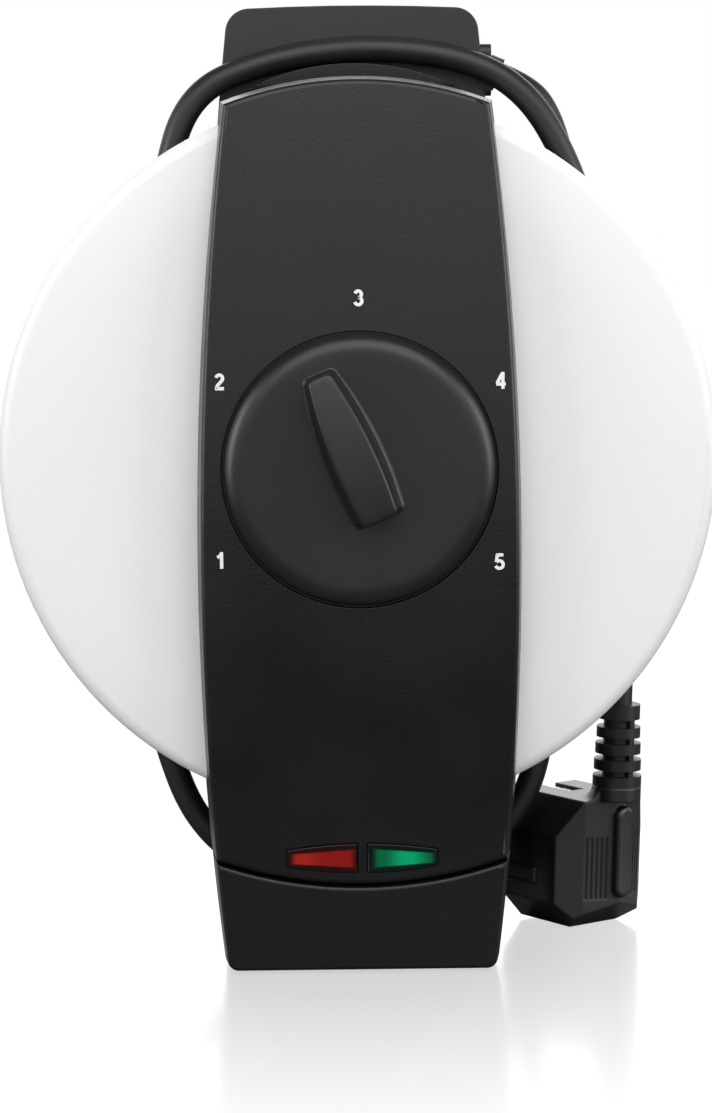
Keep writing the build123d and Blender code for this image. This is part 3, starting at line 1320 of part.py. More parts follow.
with BuildPart() as plug_body:
    with BuildSketch(plug_section(ridge)):
        with BuildLine():
            Polyline(
                (-low_half, 0),
                (-PLUG_HALF, PLUG_LOW_TALL),
                (-PLUG_HALF, PLUG_TALL - PLUG_TOP_TALL),
                (-top_half, PLUG_TALL),
                (top_half, PLUG_TALL),
                (PLUG_HALF, PLUG_TALL - PLUG_TOP_TALL),
                (PLUG_HALF, PLUG_LOW_TALL),
                (low_half, 0),
                close=True,
            )
        make_face()
    extrude(amount=PLUG_LONG)
    extrude(plug_outline(0), amount=PLUG_TALL, mode=Mode.INTERSECT)
    with BuildSketch(neck_side):
        Polygon((ridge, 0), (ridge + PLUG_HEEL_DEEP, 0), (ridge, -PLUG_LOW_TALL), align=None)
    extrude(amount=2 * PLUG_HALF, both=True, mode=Mode.SUBTRACT)
    for groove_side in (-1, 1):
        for groove in range(GROOVES):
            across = PLUG_PANEL_HALF - GROOVE_INSET - groove * GROOVE_PITCH
            with BuildSketch(plug_plan(GROOVE_LOW)):
                with Locations((ridge + PLUG_PANEL_DEEP * across / PLUG_PANEL_HALF, groove_side * across)):
                    Rectangle(2 * GROOVE_DEEP, GROOVE_WIDE)
            extrude(amount=GROOVE_TALL, mode=Mode.SUBTRACT)
    add(plug_neck.part)
    add(plug_rib.part)
    rail_at = plug_front - PLUG_RAIL_LONG / 2
    with BuildSketch(plug_plan(PLUG_RAIL_LOW)):
        with Locations((rail_at, PLUG_HALF), (rail_at, -PLUG_HALF)):
            Rectangle(PLUG_RAIL_LONG, 2 * PLUG_RAIL_PROUD)
    extrude(amount=PLUG_RAIL_TALL)
    with BuildSketch(plug_plan(0)):
        with Locations((plug_front, 0)):
            Rectangle(2 * CLIP_LONG, CLIP_SLOT)
    extrude(amount=2 * CLIP_STRIP, mode=Mode.SUBTRACT)
    with BuildSketch(plug_plan(PLUG_TALL)):
        with Locations((plug_front, 0)):
            Rectangle(2 * CLIP_LONG, CLIP_SLOT)
    extrude(amount=-2 * CLIP_STRIP, mode=Mode.SUBTRACT)
keep(plug_body, "plug_body")

spine_deep = RELIEF_TOP_R - RELIEF_SPINE / 4
with BuildPart() as plug_relief:
    with BuildSketch(plug_plan(relief_low)):
        Circle(RELIEF_CORE_R)
    extrude(amount=RELIEF_TALL)
    for collar in range(RELIEF_RINGS + 1):
        with BuildSketch(plug_plan(relief_low + RELIEF_PITCH * collar)):
            Circle(RELIEF_R - (RELIEF_R - RELIEF_TOP_R) * collar / (RELIEF_RINGS + 1))
        extrude(amount=RELIEF_RING)
    with BuildSketch(plug_plan(relief_top)):
        Circle(RELIEF_TOP_R)
    extrude(amount=-RELIEF_COLLAR)
    with BuildSketch(plug_plan(relief_low)):
        with Locations((-spine_deep / 2, 0)):
            Rectangle(spine_deep, RELIEF_SPINE)
    extrude(amount=RELIEF_TALL)
keep(plug_relief, "plug_relief")

with BuildPart() as plug_contacts:
    for contact_side in (-1, 1):
        with BuildSketch(plug_section(plug_front)):
            with Locations((contact_side * CONTACT_SPACING / 2, PLUG_TALL / 2)):
                Circle(CONTACT_R)
        extrude(amount=CONTACT_LONG)
    fillet(plug_contacts.faces().sort_by(Axis(plug_foot, plug_ahead))[-2:].edges(), CONTACT_R / 3)
keep(plug_contacts, "plug_contacts")

with BuildPart() as plug_earth_clips:
    for clip_z in (CLIP_STRIP, PLUG_TALL - 2 * CLIP_STRIP):
        with BuildSketch(plug_plan(clip_z)):
            with Locations((plug_front - CLIP_LONG / 2, 0)):
                Rectangle(CLIP_LONG, CLIP_SLOT - CLIP_STRIP)
        extrude(amount=CLIP_STRIP)
keep(plug_earth_clips, "plug_earth_clips")
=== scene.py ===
import bpy
import bmesh
import json
import math
from mathutils import Matrix, Vector


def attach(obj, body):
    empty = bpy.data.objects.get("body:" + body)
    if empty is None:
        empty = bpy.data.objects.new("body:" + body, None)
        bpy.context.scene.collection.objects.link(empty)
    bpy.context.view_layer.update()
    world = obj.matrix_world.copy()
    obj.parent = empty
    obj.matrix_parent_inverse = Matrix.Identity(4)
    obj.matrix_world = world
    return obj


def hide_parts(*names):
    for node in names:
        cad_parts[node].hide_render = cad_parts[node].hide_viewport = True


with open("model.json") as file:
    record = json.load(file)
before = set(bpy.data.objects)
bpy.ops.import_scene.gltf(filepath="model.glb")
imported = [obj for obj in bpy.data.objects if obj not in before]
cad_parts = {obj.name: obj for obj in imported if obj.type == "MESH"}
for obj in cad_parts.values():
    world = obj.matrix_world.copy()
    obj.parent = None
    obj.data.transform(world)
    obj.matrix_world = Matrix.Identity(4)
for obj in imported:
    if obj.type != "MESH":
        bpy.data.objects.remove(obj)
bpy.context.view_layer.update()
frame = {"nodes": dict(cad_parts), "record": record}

# A point is given as (x, z, level) in millimetres: x to the right and z up from the centre of the
# discs, and level in front of the parting plane between them. Blender's own places are in metres.
MM = 0.001
DISC_Z = 145.0
PARTING_Y = -1.85


def at(x, z, level):
    """The place of a point, in metres."""
    return Vector((x * MM, (PARTING_Y - level) * MM, (DISC_Z + z) * MM))


# Shader nodes
def connect(tree, node, inputs):
    """The node, with each input set to its value or linked to its socket."""
    for name, value in inputs.items():
        if isinstance(value, bpy.types.NodeSocket):
            tree.links.new(value, node.inputs[name])
        else:
            node.inputs[name].default_value = value
    return node


def calculate(tree, operation, *values):
    """The result of a math node."""
    node = tree.nodes.new("ShaderNodeMath")
    node.operation = operation
    return connect(tree, node, dict(enumerate(values))).outputs["Value"]


def map_range(tree, value, old, new, smooth=False):
    """A value moved from its old range to a new one, and kept within it."""
    node = tree.nodes.new("ShaderNodeMapRange")
    node.interpolation_type = "SMOOTHSTEP" if smooth else "LINEAR"
    ends = {"From Min": old[0], "From Max": old[1], "To Min": new[0], "To Max": new[1]}
    return connect(tree, node, {"Value": value, **ends}).outputs["Result"]


def mix_colors(tree, factor, first, second):
    """The colour that far from the first to the second."""
    node = tree.nodes.new("ShaderNodeMix")
    node.data_type = "RGBA"
    return connect(tree, node, {"Factor": factor, "A": first, "B": second}).outputs["Result"]


def opaque(color):
    """A colour with its opacity, as sockets take it."""
    return (*color, 1.0)


def set_shader(material, inputs):
    """Set or link inputs of a material's main shader."""
    connect(material.node_tree, material.node_tree.nodes["Principled BSDF"], inputs)


def node_material(name, color, rough, metallic=0.0):
    """A material whose main shader has that colour, roughness and metalness."""
    material = bpy.data.materials.new(name)
    material.use_nodes = True
    set_shader(material, {"Base Color": opaque(color), "Roughness": rough, "Metallic": metallic})
    return material


# Materials
NOISE_RANGE = (0.3, 0.7)
EDGE_SAMPLES = 6
PATCH_SCALE, PATCH_DETAIL = 35.0, 3.0
PATCH_SMOOTHER, PATCH_ROUGHER = 0.04, 0.05
PATCH_DARKER, PATCH_LIGHTER = 0.93, 1.08
GRAIN_DETAIL, GRAIN_STRENGTH = 2.0, 0.5
LINE_SCALE, LINE_DETAIL = 900.0, 3.0
LINE_STRENGTH, LINE_DEPTH = 0.25, 0.00002
LINE_SMOOTHER, LINE_ROUGHER = 0.07, 0.1
STAIN_SCALE, STAIN_DARKER = 30.0, 0.9


def add_noise(material, scale, detail=4.0, stretch=None):
    """A noise of that scale, in the object's own coordinates."""
    tree = material.node_tree
    place = tree.nodes.new("ShaderNodeTexCoord").outputs["Object"]
    if stretch:
        mapping = tree.nodes.new("ShaderNodeMapping")
        connect(tree, mapping, {"Vector": place, "Scale": stretch})
        place = mapping.outputs["Vector"]
    grain = tree.nodes.new("ShaderNodeTexNoise")
    return connect(tree, grain, {"Vector": place, "Scale": scale, "Detail": detail}).outputs["Fac"]


def vary_rough(material, value, low, high):
    """Roughness that follows a noise, between two values."""
    rough = map_range(material.node_tree, value, NOISE_RANGE, (low, high))
    set_shader(material, {"Roughness": rough})


def vary_color(material, value, dark, light):
    """A colour that follows a noise, between two colours."""
    tree = material.node_tree
    share = map_range(tree, value, NOISE_RANGE, (0.0, 1.0))
    set_shader(material, {"Base Color": mix_colors(tree, share, opaque(dark), opaque(light))})


def shaded(color, share):
    """The colour, made that much darker or lighter."""
    return [channel * share for channel in color]


def add_bump(material, height, strength, distance, edge=0.0):
    """A bump from that height, over edges that look rounded by that radius."""
    tree = material.node_tree
    bump = tree.nodes.new("ShaderNodeBump")
    connect(tree, bump, {"Strength": strength, "Distance": distance, "Height": height})
    if edge:
        round_edge = tree.nodes.new("ShaderNodeBevel")
        round_edge.samples = EDGE_SAMPLES
        connect(tree, round_edge, {"Radius": edge})
        connect(tree, bump, {"Normal": round_edge.outputs["Normal"]})
    set_shader(material, {"Normal": bump.outputs["Normal"]})


def moulded(name, color, rough, grain_scale, grain_depth, specular=0.5, edge=0.0):
    """A material with faint patches and an eroded grain, such as plastic, rubber or ceramic."""
    material = node_material(name, color, rough)
    set_shader(material, {"Specular IOR Level": specular})
    patches = add_noise(material, PATCH_SCALE, PATCH_DETAIL)
    vary_rough(material, patches, rough - PATCH_SMOOTHER, rough + PATCH_ROUGHER)
    vary_color(material, patches, shaded(color, PATCH_DARKER), shaded(color, PATCH_LIGHTER))
    grain = add_noise(material, grain_scale, GRAIN_DETAIL)
    add_bump(material, grain, GRAIN_STRENGTH, grain_depth, edge)
    return material


def metal(name, color, rough, stretch):
    """Metal with a fine grain, which a small stretch draws out into lines along that axis."""
    material = node_material(name, color, rough, 1.0)
    lines = add_noise(material, LINE_SCALE, LINE_DETAIL, stretch)
    vary_rough(material, lines, rough - LINE_SMOOTHER, rough + LINE_ROUGHER)
    vary_color(material, add_noise(material, STAIN_SCALE), shaded(color, STAIN_DARKER), color)
    add_bump(material, lines, LINE_STRENGTH, LINE_DEPTH)
    return material


ENAMEL_COLOR = (0.88, 0.877, 0.868)
ENAMEL_DARK = (0.875, 0.872, 0.862)
ENAMEL_LIGHT = (0.89, 0.887, 0.88)
ENAMEL_SMOOTH, ENAMEL_ROUGH = 0.36, 0.44
ENAMEL_PATCHES, ENAMEL_CLOUDS, ENAMEL_GRAIN = 40.0, 12.0, 900.0
ENAMEL_STRENGTH, ENAMEL_DEPTH = 0.12, 0.00002
COAT_WEIGHT, COAT_ROUGH = 0.12, 0.3


def enamel(name):
    """White enamel under a thin clear coat."""
    material = node_material(name, ENAMEL_COLOR, ENAMEL_SMOOTH)
    set_shader(material, {"Coat Weight": COAT_WEIGHT, "Coat Roughness": COAT_ROUGH})
    patches = add_noise(material, ENAMEL_PATCHES, PATCH_DETAIL)
    vary_rough(material, patches, ENAMEL_SMOOTH, ENAMEL_ROUGH)
    vary_color(material, add_noise(material, ENAMEL_CLOUDS), ENAMEL_DARK, ENAMEL_LIGHT)
    grain = add_noise(material, ENAMEL_GRAIN, GRAIN_DETAIL)
    add_bump(material, grain, ENAMEL_STRENGTH, ENAMEL_DEPTH)
    return material


# The painted glow on the lenses, which stands in for the light behind them: its height and its half
# heights at its inner and outer end. It fades into painted shade over these shares of its size, and
# its painted brightest spot fades over these distances.
LAMP_HEIGHT = (DISC_Z - 110.8) * MM
PAINTED_GLOW_HALF = (0.0026, 0.0014)
PAINTED_GLOW_FADE = (1.14, 0.84)
PAINTED_HOT_FADE = (0.0065, 0.001)
LENS_LOOK = (0.3, 800.0, 0.00002, 0.25)


def painted_glow_lens(name, colors, inner_x, outer_x, hot_x):
    """A lens with painted light: a painted glow in its middle, a painted brightest spot, and
    painted shade along its edge.
    """
    # dark is the painted shade along the edge, lit the painted glow and hot its painted brightest
    # spot
    dark, lit, hot = colors
    material = moulded(name, lit, *LENS_LOOK)
    tree = material.node_tree
    coords = tree.nodes.new("ShaderNodeTexCoord")
    split = tree.nodes.new("ShaderNodeSeparateXYZ")
    connect(tree, split, {"Vector": coords.outputs["Object"]})
    x = split.outputs["X"]

    def off(value, middle):
        """How far a value is from a middle."""
        return calculate(tree, "ABSOLUTE", calculate(tree, "SUBTRACT", value, middle))

    tall = map_range(tree, off(x, 0.0), (abs(inner_x), abs(outer_x)), PAINTED_GLOW_HALF)
    up = calculate(tree, "DIVIDE", off(split.outputs["Z"], LAMP_HEIGHT), tall)
    wide = abs(outer_x - inner_x) / 2
    across = calculate(tree, "DIVIDE", off(x, (inner_x + outer_x) / 2), wide)
    edge = calculate(tree, "MAXIMUM", up, across)
    painted_glow_share = map_range(tree, edge, PAINTED_GLOW_FADE, (0.0, 1.0), smooth=True)
    near_painted_hot_spot = map_range(tree, off(x, hot_x), PAINTED_HOT_FADE, (0.0, 1.0), smooth=True)
    glow = mix_colors(tree, near_painted_hot_spot, opaque(lit), opaque(hot))
    set_shader(material, {"Base Color": mix_colors(tree, painted_glow_share, opaque(dark), glow)})
    return material


# Colour, roughness, scale and depth of the grain, specular level and radius of the edges
MOULDED = {
    "black_plastic": ((0.0042, 0.0042, 0.0042), 0.3, 1100.0, 0.00008, 0.46, 0.0004),
    # A lighter copy of black_plastic: painted light on the band on the back
    "bridge_plastic": ((0.016, 0.0158, 0.0158), 0.4, 1100.0, 0.00006, 0.5, 0.0007),
    "knob_plastic": ((0.0115, 0.0116, 0.0118), 0.36, 1300.0, 0.00003, 0.5),
    "foot_rubber": ((0.012, 0.012, 0.012), 0.7, 2500.0, 0.00004, 0.3),
    "cord_rubber": ((0.009, 0.009, 0.009), 0.42, 1800.0, 0.00002, 0.5),
    "plug_rubber": ((0.0065, 0.0065, 0.0065), 0.36, 1500.0, 0.00002, 0.75, 0.0011),
    "cast_plate": ((0.035, 0.035, 0.037), 0.42, 700.0, 0.00004),
    # Blackened steel, made darker still as painted shade, so that the hinge sinks into the shade
    # between the tab and the band
    "black_steel": ((0.004, 0.004, 0.004), 0.7, 900.0, 0.00003, 0.12),
    "pale_ceramic": ((0.72, 0.7, 0.64), 0.6, 900.0, 0.00003),
    "lamp_glass": ((0.8, 0.55, 0.4), 0.1, 800.0, 0.00001),
    "wire_sleeve": ((0.7, 0.68, 0.62), 0.8, 1200.0, 0.0001),
    "print_white": ((0.86, 0.86, 0.86), 0.5, 1500.0, 0.00001),
}
# Colour, roughness and stretch of the grain along each axis
METALS = {
    "contact_brass": ((0.75, 0.72, 0.66), 0.25, (1, 1, 1)),
    "sheet_steel": ((0.55, 0.56, 0.58), 0.3, (1, 1, 0.06)),
    "heater_sheath": ((0.2, 0.18, 0.16), 0.45, (1, 1, 1)),
    "bright_steel": ((0.6, 0.6, 0.61), 0.28, (0.05, 1, 1)),
    "screw_steel": ((0.5, 0.5, 0.52), 0.32, (1, 1, 1)),
}
# Painted shade, painted glow and painted brightest colour, and the painted glow's inner end, outer
# end and brightest spot
PAINTED_GLOW_LENSES = {
    "red_lens": (
        ((0.012, 0.001, 0.002), (0.25, 0.007, 0.005), (0.36, 0.016, 0.008)),
        -0.0026,
        -0.0193,
        -0.0175,
    ),
    "green_lens": (
        ((0.0, 0.006, 0.004), (0.0, 0.13, 0.045), (0.0, 0.36, 0.14)),
        0.0036,
        0.0196,
        0.0125,
    ),
}
MATERIALS = {"white_enamel": enamel("white_enamel")}
for make, looks in ((moulded, MOULDED), (metal, METALS), (painted_glow_lens, PAINTED_GLOW_LENSES)):
    for name, look in looks.items():
        MATERIALS[name] = make(name, *look)

# CAD nodes
SMOOTH_ANGLE = math.radians(32.0)
# The band on the back gets a slightly greyer copy of the black plastic: painted light, which makes
# it look more brightly lit
PAINTED_LIGHT_MATERIALS = {"cord_bridge": "bridge_plastic", "bridge_cover": "bridge_plastic"}


def finish_node(piece, material):
    """Smooth shading up to an angle, and one material."""
    mesh = piece.data
    mesh.materials.clear()
    mesh.materials.append(material)
    for face in mesh.polygons:
        face.material_index = 0
    mesh.shade_smooth()
    mesh.set_sharp_from_angle(angle=SMOOTH_ANGLE)


for part in frame["record"]["subparts"]:
    node = frame["nodes"][part["node"]]
    finish_node(node, MATERIALS[PAINTED_LIGHT_MATERIALS.get(part["node"], part["material_slot"])])


def new_piece(name, mesh, body, slot_name, material=None, replaces=()):
    """An object of that mesh which rides on a body."""
    piece = bpy.data.objects.new(name, mesh)
    bpy.context.scene.collection.objects.link(piece)
    mesh.materials.append(MATERIALS[material or slot_name])
    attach(piece, body)
    if replaces:
        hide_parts(*replaces)
    return piece


# Mains lead
CORD_R = 3.75
LEAD_ROUTE = [
    (43.115, 107.302, -43.0),
    (51.46, 103.93, -43.0),
    (57.487, 96.819, -43.1),
    (62.213, 81.963, -43.5),
    (65.537, 61.975, -44.0),
    (67.479, 32.041, -44.0),
    (65.973, -7.517, -42.0),
    (62.337, -43.649, -37.5),
    (56.35, -77.845, -32.8),
    (50.668, -107.674, -30.6),
    (29.356, -127.155, -30.5),
    (2.339, -133.98, -30.5),
    (-25.149, -129.378, -30.5),
    (-47.3, -114.192, -30.5),
    (-57.932, -85.888, -30.8),
    (-63.645, -50.264, -31.2),
    (-66.944, -5.857, -31.5),
    (-63.479, 40.13, -31.3),
    (-55.639, 74.645, -31.0),
    (-48.07, 102.155, -31.0),
    (-24.413, 111.969, -31.0),
    (3.833, 115.536, -31.0),
    (32.81, 112.201, -31.0),
    (50.688, 102.111, -31.0),
    (62.538, 82.093, -31.2),
    (70.015, 58.128, -31.5),
    (76.721, 24.043, -31.8),
    (80.407, -12.017, -32.0),
    (79.608, -43.044, -31.8),
    (77.7, -65.239, -26.5),
    (77.323, -77.233, -26.5),
]
lead = bpy.data.curves.new("mains_lead", "CURVE")
lead.dimensions = "3D"
spline = lead.splines.new("NURBS")
spline.points.add(len(LEAD_ROUTE) - 1)
for point, place in zip(spline.points, LEAD_ROUTE):
    point.co = (*at(*place), 1.0)
spline.order_u = 3
spline.use_endpoint_u = True
spline.resolution_u = 16
lead.bevel_depth = CORD_R * MM
lead.bevel_resolution = 8
lead.use_fill_caps = True
mains_lead = new_piece("mains_lead", lead, "root", "cord_rubber", replaces=["power_cord"])

# Numbers printed round the dial
ARCH_LEVEL = 35.2
ARCH_Z = -18.0
ARCH_R = 1040.0
BEND_STEPS = 10


def arch(z):
    """Level of the band's front at that height."""
    return ARCH_LEVEL - ARCH_R + math.sqrt(ARCH_R**2 - (z - ARCH_Z) ** 2)


def bend(middle, radius, start, stop):
    """Points on an arc, from one angle in degrees to another."""
    degrees = [start + (stop - start) * step / BEND_STEPS for step in range(BEND_STEPS + 1)]
    turns = [math.radians(angle) for angle in degrees]
    return [(middle[0] + radius * math.cos(t), middle[1] + radius * math.sin(t)) for t in turns]


# Each digit's strokes, by their middle lines in a box one unit tall
STROKES = {
    "1": [[(0.06, -0.5), (0.06, 0.5)], [(-0.2, 0.17), (-0.04, 0.27), (0.06, 0.42)]],
    "2": [
        bend((-0.01, 0.2), 0.2, 168, -30) + [(0.1, 0.02), (-0.12, -0.22), (-0.2, -0.4)],
        [(-0.27, -0.41), (0.26, -0.41)],
    ],
    "3": [bend((-0.01, 0.21), 0.195, 165, -90), bend((-0.01, -0.19), 0.22, 90, -165)],
    "4": [
        [(0.11, -0.5), (0.11, 0.5)],
        [(0.07, 0.42), (-0.24, -0.17)],
        [(-0.29, -0.21), (0.28, -0.21)],
    ],
    "5": [
        [(-0.19, 0.41), (0.23, 0.41)],
        [(-0.13, 0.45), (-0.19, -0.01)],
        bend((-0.01, -0.17), 0.235, 140, -160),
    ],
}
STROKE_HALF = 0.098
PRINT_TALL = 4.6
PRINT_PROUD = 0.03
# The middle of each digit, as x and z
NUMBERS = {
    "1": (-38.4, -26.4),
    "2": (-38.1, 22.6),
    "3": (0.0, 45.1),
    "4": (38.8, 22.3),
    "5": (38.2, -27.5),
}


def stroke_sides(points):
    """Both sides of a stroke, as pairs of points."""
    pairs = []
    for index, point in enumerate(points):
        before = Vector(points[max(index - 1, 0)])
        after = Vector(points[min(index + 1, len(points) - 1)])
        along = (after - before).normalized()
        side = Vector((-along.y, along.x)) * STROKE_HALF
        pairs.append((Vector(point) + side, Vector(point) - side))
    return pairs


def print_number(digit, x, z):
    """A digit on the band's front, with its middle there."""
    mesh = bpy.data.meshes.new("number_" + digit)
    shape = bmesh.new()

    def print_place(spot):
        """The place of a point of the digit's box."""
        spot_z = z + spot.y * PRINT_TALL
        return at(x + spot.x * PRINT_TALL, spot_z, arch(spot_z) + PRINT_PROUD)

    for stroke in STROKES[digit]:
        rows = []
        for pair in stroke_sides(stroke):
            rows.append([shape.verts.new(print_place(spot)) for spot in pair])
        for low, high in zip(rows, rows[1:]):
            shape.faces.new((low[0], low[1], high[1], high[0]))
    shape.normal_update()
    for face in shape.faces:
        if face.normal.y > 0:
            face.normal_flip()
    shape.to_mesh(mesh)
    shape.free()
    new_piece("number_" + digit, mesh, "lid", "black_plastic", "print_white")


for digit, middle in NUMBERS.items():
    print_number(digit, *middle)

# Dial: a disc with a rolled rim and a bevelled pointer bar
KNOB_Z = -2.0
KNOB_BACK = 32.7
POINTER_TURN = math.radians(23.0)
POINTER_TIP, POINTER_TAIL = 28.6, 13.8
POINTER_WIDEST = 1.5
POINTER_CORNER = 1.9
FOOT_HALF, FOOT_NARROW = 7.5, 0.0046
TOP_HALF, TOP_NARROW = 5.9, 0.0036
CROWN = 0.0033
# Radius and level of each ring of the disc, from its back to its face
DISC_PROFILE = [
    (0.0, KNOB_BACK), (36.9, KNOB_BACK), (37.3, 33.1), (37.3, 35.0), (37.22, 35.6),
    (36.95, 36.3), (36.4, 37.0), (35.6, 37.65), (34.6, 38.15), (33.6, 38.42), (32.6, 38.5),
    (31.0, 38.5), (24.0, 38.4), (14.0, 38.34), (0.0, 38.32),
]
# Each ring of the pointer: its share from foot to top, its distance outside that outline, its level
POINTER_RINGS = [
    (0.0, 1.3, 38.2), (0.0, 1.0, 38.4), (0.0, 0.6, 38.5), (0.0, 0.28, 38.72), (0.0, 0.08, 39.1),
    (0.03, 0.0, 39.7), (0.3, 0.0, 42.6), (0.6, 0.0, 45.8), (0.9, 0.0, 48.8), (0.98, 0.0, 49.5),
    (1.0, -0.08, 49.85), (1.0, -0.27, 50.08), (1.0, -0.55, 50.2), (1.0, -0.9, 50.25),
    (1.0, -1.7, 50.27),
]
RIM_STEPS = 128
SIDE_STEPS = 24
CORNER_STEPS = 6
DIAL_ANGLE = math.radians(50.0)


def knob_place(across, along, level):
    """A place on the knob, from its distance across and along the pointer."""
    x = across * math.cos(POINTER_TURN) - along * math.sin(POINTER_TURN)
    z = across * math.sin(POINTER_TURN) + along * math.cos(POINTER_TURN)
    return at(x, KNOB_Z + z, level)


def ring_faces(shape, rings):
    """Faces between rings of points, the last of which may be one point."""
    for low, high in zip(rings, rings[1:]):
        count = len(low)
        for step in range(count):
            after = (step + 1) % count
            if len(high) == 1:
                shape.faces.new((low[step], low[after], high[0]))
            else:
                shape.faces.new((low[step], low[after], high[after], high[step]))


def disc_ring(shape, radius, level):
    """The points of one ring of the disc, or its one point on the axis."""
    steps = RIM_STEPS if radius else 1
    ring = []
    for step in range(steps):
        turn = math.tau * step / steps
        place = knob_place(radius * math.cos(turn), radius * math.sin(turn), level)
        ring.append(shape.verts.new(place))
    return ring


def add_disc(shape):
    """The disc, closed at its back and its face."""
    back, *rings = [disc_ring(shape, radius, level) for radius, level in DISC_PROFILE]
    for step in range(RIM_STEPS):
        shape.faces.new((back[0], rings[0][(step + 1) % RIM_STEPS], rings[0][step]))
    ring_faces(shape, rings)


def pointer_side(share, out):
    """Half the pointer's outline, from its tail to its tip."""
    half = FOOT_HALF + (TOP_HALF - FOOT_HALF) * share
    narrow = FOOT_NARROW + (TOP_NARROW - FOOT_NARROW) * share
    corner = POINTER_CORNER
    low, high = -POINTER_TAIL - out, POINTER_TIP + out

    def width(along):
        """Half the width, which narrows towards both ends."""
        return half + out - narrow * (along - POINTER_WIDEST) ** 2

    turns = [math.radians(90 * step / CORNER_STEPS) for step in range(CORNER_STEPS + 1)]
    tail_x = width(low + corner) - corner
    tip_x = width(high - corner) - corner
    points = [Vector((0.0, low))]
    for turn in turns:
        x = tail_x + corner * math.sin(turn)
        points.append(Vector((x, low + corner - corner * math.cos(turn))))
    for step in range(1, SIDE_STEPS):
        along = low + corner + (high - low - 2 * corner) * step / SIDE_STEPS
        points.append(Vector((width(along), along)))
    for turn in turns:
        x = tip_x + corner * math.cos(turn)
        points.append(Vector((x, high - corner + corner * math.sin(turn))))
    points.append(Vector((0.0, high)))
    return points


def pointer_ring(shape, share, out, level):
    """The points of one ring round the pointer, right side first."""
    side = pointer_side(share, out)
    ring = []
    for spot in side + [Vector((-spot.x, spot.y)) for spot in reversed(side[1:-1])]:
        drop = CROWN * spot.y**2 * share
        ring.append(shape.verts.new(knob_place(spot.x, spot.y, level - drop)))
    return ring


def add_pointer(shape):
    """The pointer bar, closed at its top and, inside the disc, at its foot."""
    rings = [pointer_ring(shape, *ring) for ring in POINTER_RINGS]
    ring_faces(shape, rings)
    top = rings[-1]
    for step in range(len(top) // 2):
        corners = (top[step], top[step + 1], top[-step - 1], top[-step])
        # At both ends two of these are one point, and the face is a triangle
        shape.faces.new(list(dict.fromkeys(corners)))
    shape.faces.new(list(reversed(rings[0])))


dial_mesh = bpy.data.meshes.new("dial")
dial_shape = bmesh.new()
add_disc(dial_shape)
add_pointer(dial_shape)
bmesh.ops.recalc_face_normals(dial_shape, faces=dial_shape.faces)
dial_shape.to_mesh(dial_mesh)
dial_shape.free()
dial_mesh.shade_smooth()
dial_mesh.set_sharp_from_angle(angle=DIAL_ANGLE)
new_piece("dial", dial_mesh, "knob_body", "knob_plastic", replaces=["knob"])

# Floor, world and lamps
WHITE = (1.0, 1.0, 1.0, 1.0)
FLOOR_HALF = 6.0
FLOOR_COLOR = (0.12, 0.12, 0.12)
FLOOR_ROUGH = 0.2
# Near the object the floor shines, and away from it the camera sees it white
SHINE = 0.5
SHINE_SPAN = (0.05, 0.2)
GLOW_NEAR, GLOW_FAR = 0.6, 0.92
WHITE_SPAN = (0.2, 0.7)
# Further out the object's gloss sees it as bright as the sky
MIRROR_SPAN = (1.1, 2.4)
# The sky's strength below the horizon, above it and overhead, and where it changes
SKY_LOW, SKY_HIGH, SKY_TOP = 0.02, 1.0, 0.08
HORIZON_SPAN = (-0.1, 0.08)
OVERHEAD_SPAN = (0.35, 0.75)
# Each lamp's place, the point that it faces, its width and height, and its power
LAMPS = {
    "top_lamp": ((0.1, 0.35, 1.3), (0, -0.05, 0.1), (1.2, 0.9), 1.0),
    "front_lamp": ((0.15, -1.4, 1.6), (0, 0, 0.14), (2.4, 1.6), 28.0),
    "left_lamp": ((-1.6, -0.65, 0.42), (0, 0, 0.14), (0.8, 1.1), 12.0),
    "right_lamp": ((1.6, -0.65, 0.42), (0, 0, 0.14), (0.8, 1.1), 12.0),
    "back_lamp": ((0.2, 1.4, 0.8), (0, 0, 0.14), (1.2, 1.0), 6.0),
}


def floor_material():
    """The floor's material, which changes with the distance from the object."""
    material = node_material("floor_white", FLOOR_COLOR, FLOOR_ROUGH)
    tree = material.node_tree
    coords = tree.nodes.new("ShaderNodeTexCoord")
    away = tree.nodes.new("ShaderNodeVectorMath")
    away.operation = "LENGTH"
    distance = connect(tree, away, {0: coords.outputs["Object"]}).outputs["Value"]
    near_glow = map_range(tree, distance, SHINE_SPAN, (GLOW_NEAR, GLOW_FAR))
    far_glow = map_range(tree, distance, WHITE_SPAN, (0.0, 1.0 - GLOW_FAR))
    glow = calculate(tree, "ADD", near_glow, far_glow)
    rays = tree.nodes.new("ShaderNodeLightPath")
    seen = calculate(tree, "MULTIPLY", rays.outputs["Is Camera Ray"], glow)
    mirrored = map_range(tree, distance, MIRROR_SPAN, (0.0, SKY_HIGH))
    strength = calculate(tree, "MULTIPLY_ADD", rays.outputs["Is Glossy Ray"], mirrored, seen)
    shine = map_range(tree, distance, SHINE_SPAN, (SHINE, 0.0))
    set_shader(material, {"Specular IOR Level": shine})
    set_shader(material, {"Emission Color": WHITE, "Emission Strength": strength})
    return material


def make_floor():
    """A plain pale floor."""
    mesh = bpy.data.meshes.new("floor")
    sides = (-FLOOR_HALF, FLOOR_HALF)
    corners = [(x, y, 0) for y in sides for x in sides]
    mesh.from_pydata(corners, [], [(0, 1, 3, 2)])
    mesh.materials.append(floor_material())
    floor = bpy.data.objects.new("floor", mesh)
    bpy.context.scene.collection.objects.link(floor)


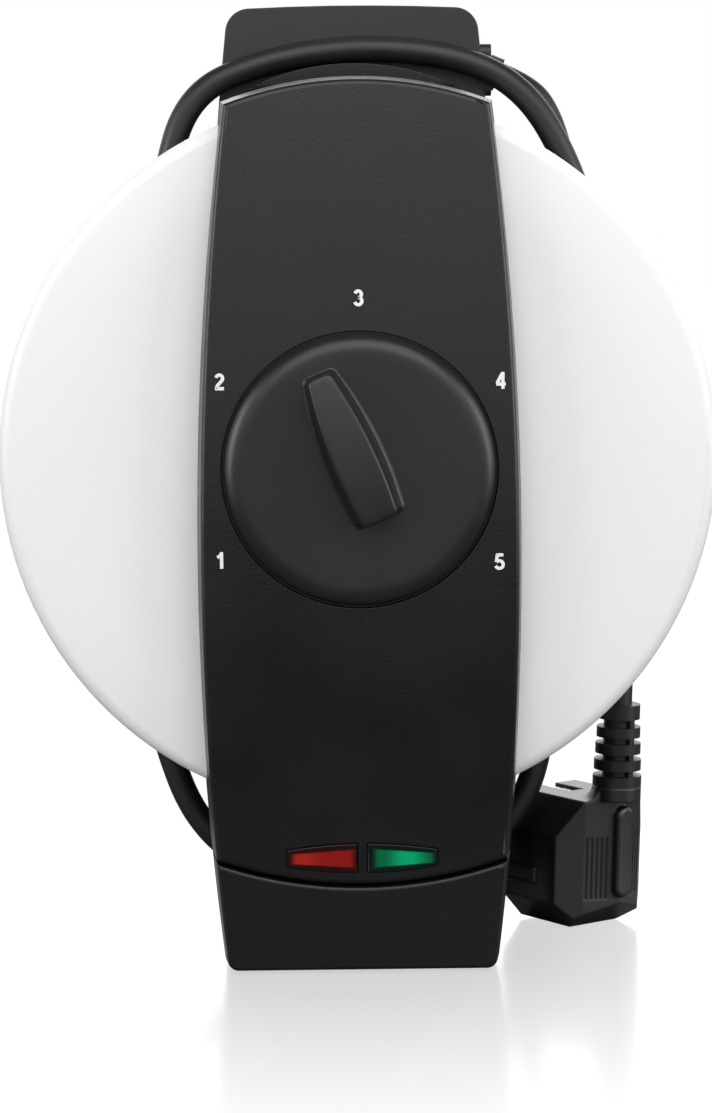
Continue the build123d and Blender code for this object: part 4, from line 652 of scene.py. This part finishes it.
def make_world():
    """A pale studio, which the camera sees as plain white."""
    world = bpy.data.worlds.new("studio")
    bpy.context.scene.world = world
    world.use_nodes = True
    tree = world.node_tree
    coords = tree.nodes.new("ShaderNodeTexCoord")
    split = tree.nodes.new("ShaderNodeSeparateXYZ")
    connect(tree, split, {"Vector": coords.outputs["Generated"]})
    up = split.outputs["Z"]
    lift = map_range(tree, up, HORIZON_SPAN, (SKY_LOW, SKY_HIGH), smooth=True)
    dim = map_range(tree, up, OVERHEAD_SPAN, (1.0, SKY_TOP), smooth=True)
    sky = calculate(tree, "MULTIPLY", lift, dim)
    rays = tree.nodes.new("ShaderNodeLightPath")
    pick = tree.nodes.new("ShaderNodeMix")
    connect(tree, pick, {"Factor": rays.outputs["Is Camera Ray"], "A": sky, "B": 1.0})
    strength = pick.outputs["Result"]
    connect(tree, tree.nodes["Background"], {"Color": WHITE, "Strength": strength})


def make_lamp(name, place, target, size, power):
    """A soft rectangular lamp that faces its target."""
    lamp = bpy.data.lights.new(name, "AREA")
    lamp.shape = "RECTANGLE"
    lamp.size, lamp.size_y = size
    lamp.energy = power
    piece = bpy.data.objects.new(name, lamp)
    bpy.context.scene.collection.objects.link(piece)
    piece.location = place
    facing = Vector(target) - Vector(place)
    piece.rotation_euler = facing.to_track_quat("-Z", "Y").to_euler()


make_floor()
make_world()
for name, settings in LAMPS.items():
    make_lamp(name, *settings)

# Camera: the photo's own view
CAMERA_AT = (-0.01686, -0.92847, 0.22197)
LOOK_UP = math.radians(6.567)
LOOK_TURN = math.radians(-1.004)
LOOK_ROLL = math.radians(-0.448)
LENS = 165.3
SENSOR_WIDE = 36.0
camera = bpy.data.cameras.new("camera")
camera.sensor_fit = "HORIZONTAL"
camera.sensor_width = SENSOR_WIDE
camera.lens = LENS
eye = bpy.data.objects.new("camera", camera)
bpy.context.scene.collection.objects.link(eye)
back = Vector(
    (
        math.sin(LOOK_TURN) * math.cos(LOOK_UP),
        -math.cos(LOOK_TURN) * math.cos(LOOK_UP),
        math.sin(LOOK_UP),
    )
)
right = (-back).cross(Vector((0, 0, 1))).normalized()
up = right.cross(-back)
tilted_right = right * math.cos(LOOK_ROLL) + up * math.sin(LOOK_ROLL)
tilted_up = up * math.cos(LOOK_ROLL) - right * math.sin(LOOK_ROLL)
turn = Matrix((tilted_right, tilted_up, back)).transposed().to_4x4()
eye.matrix_world = Matrix.Translation(CAMERA_AT) @ turn
bpy.context.scene.camera = eye
bpy.context.scene.view_settings.view_transform = "Standard"
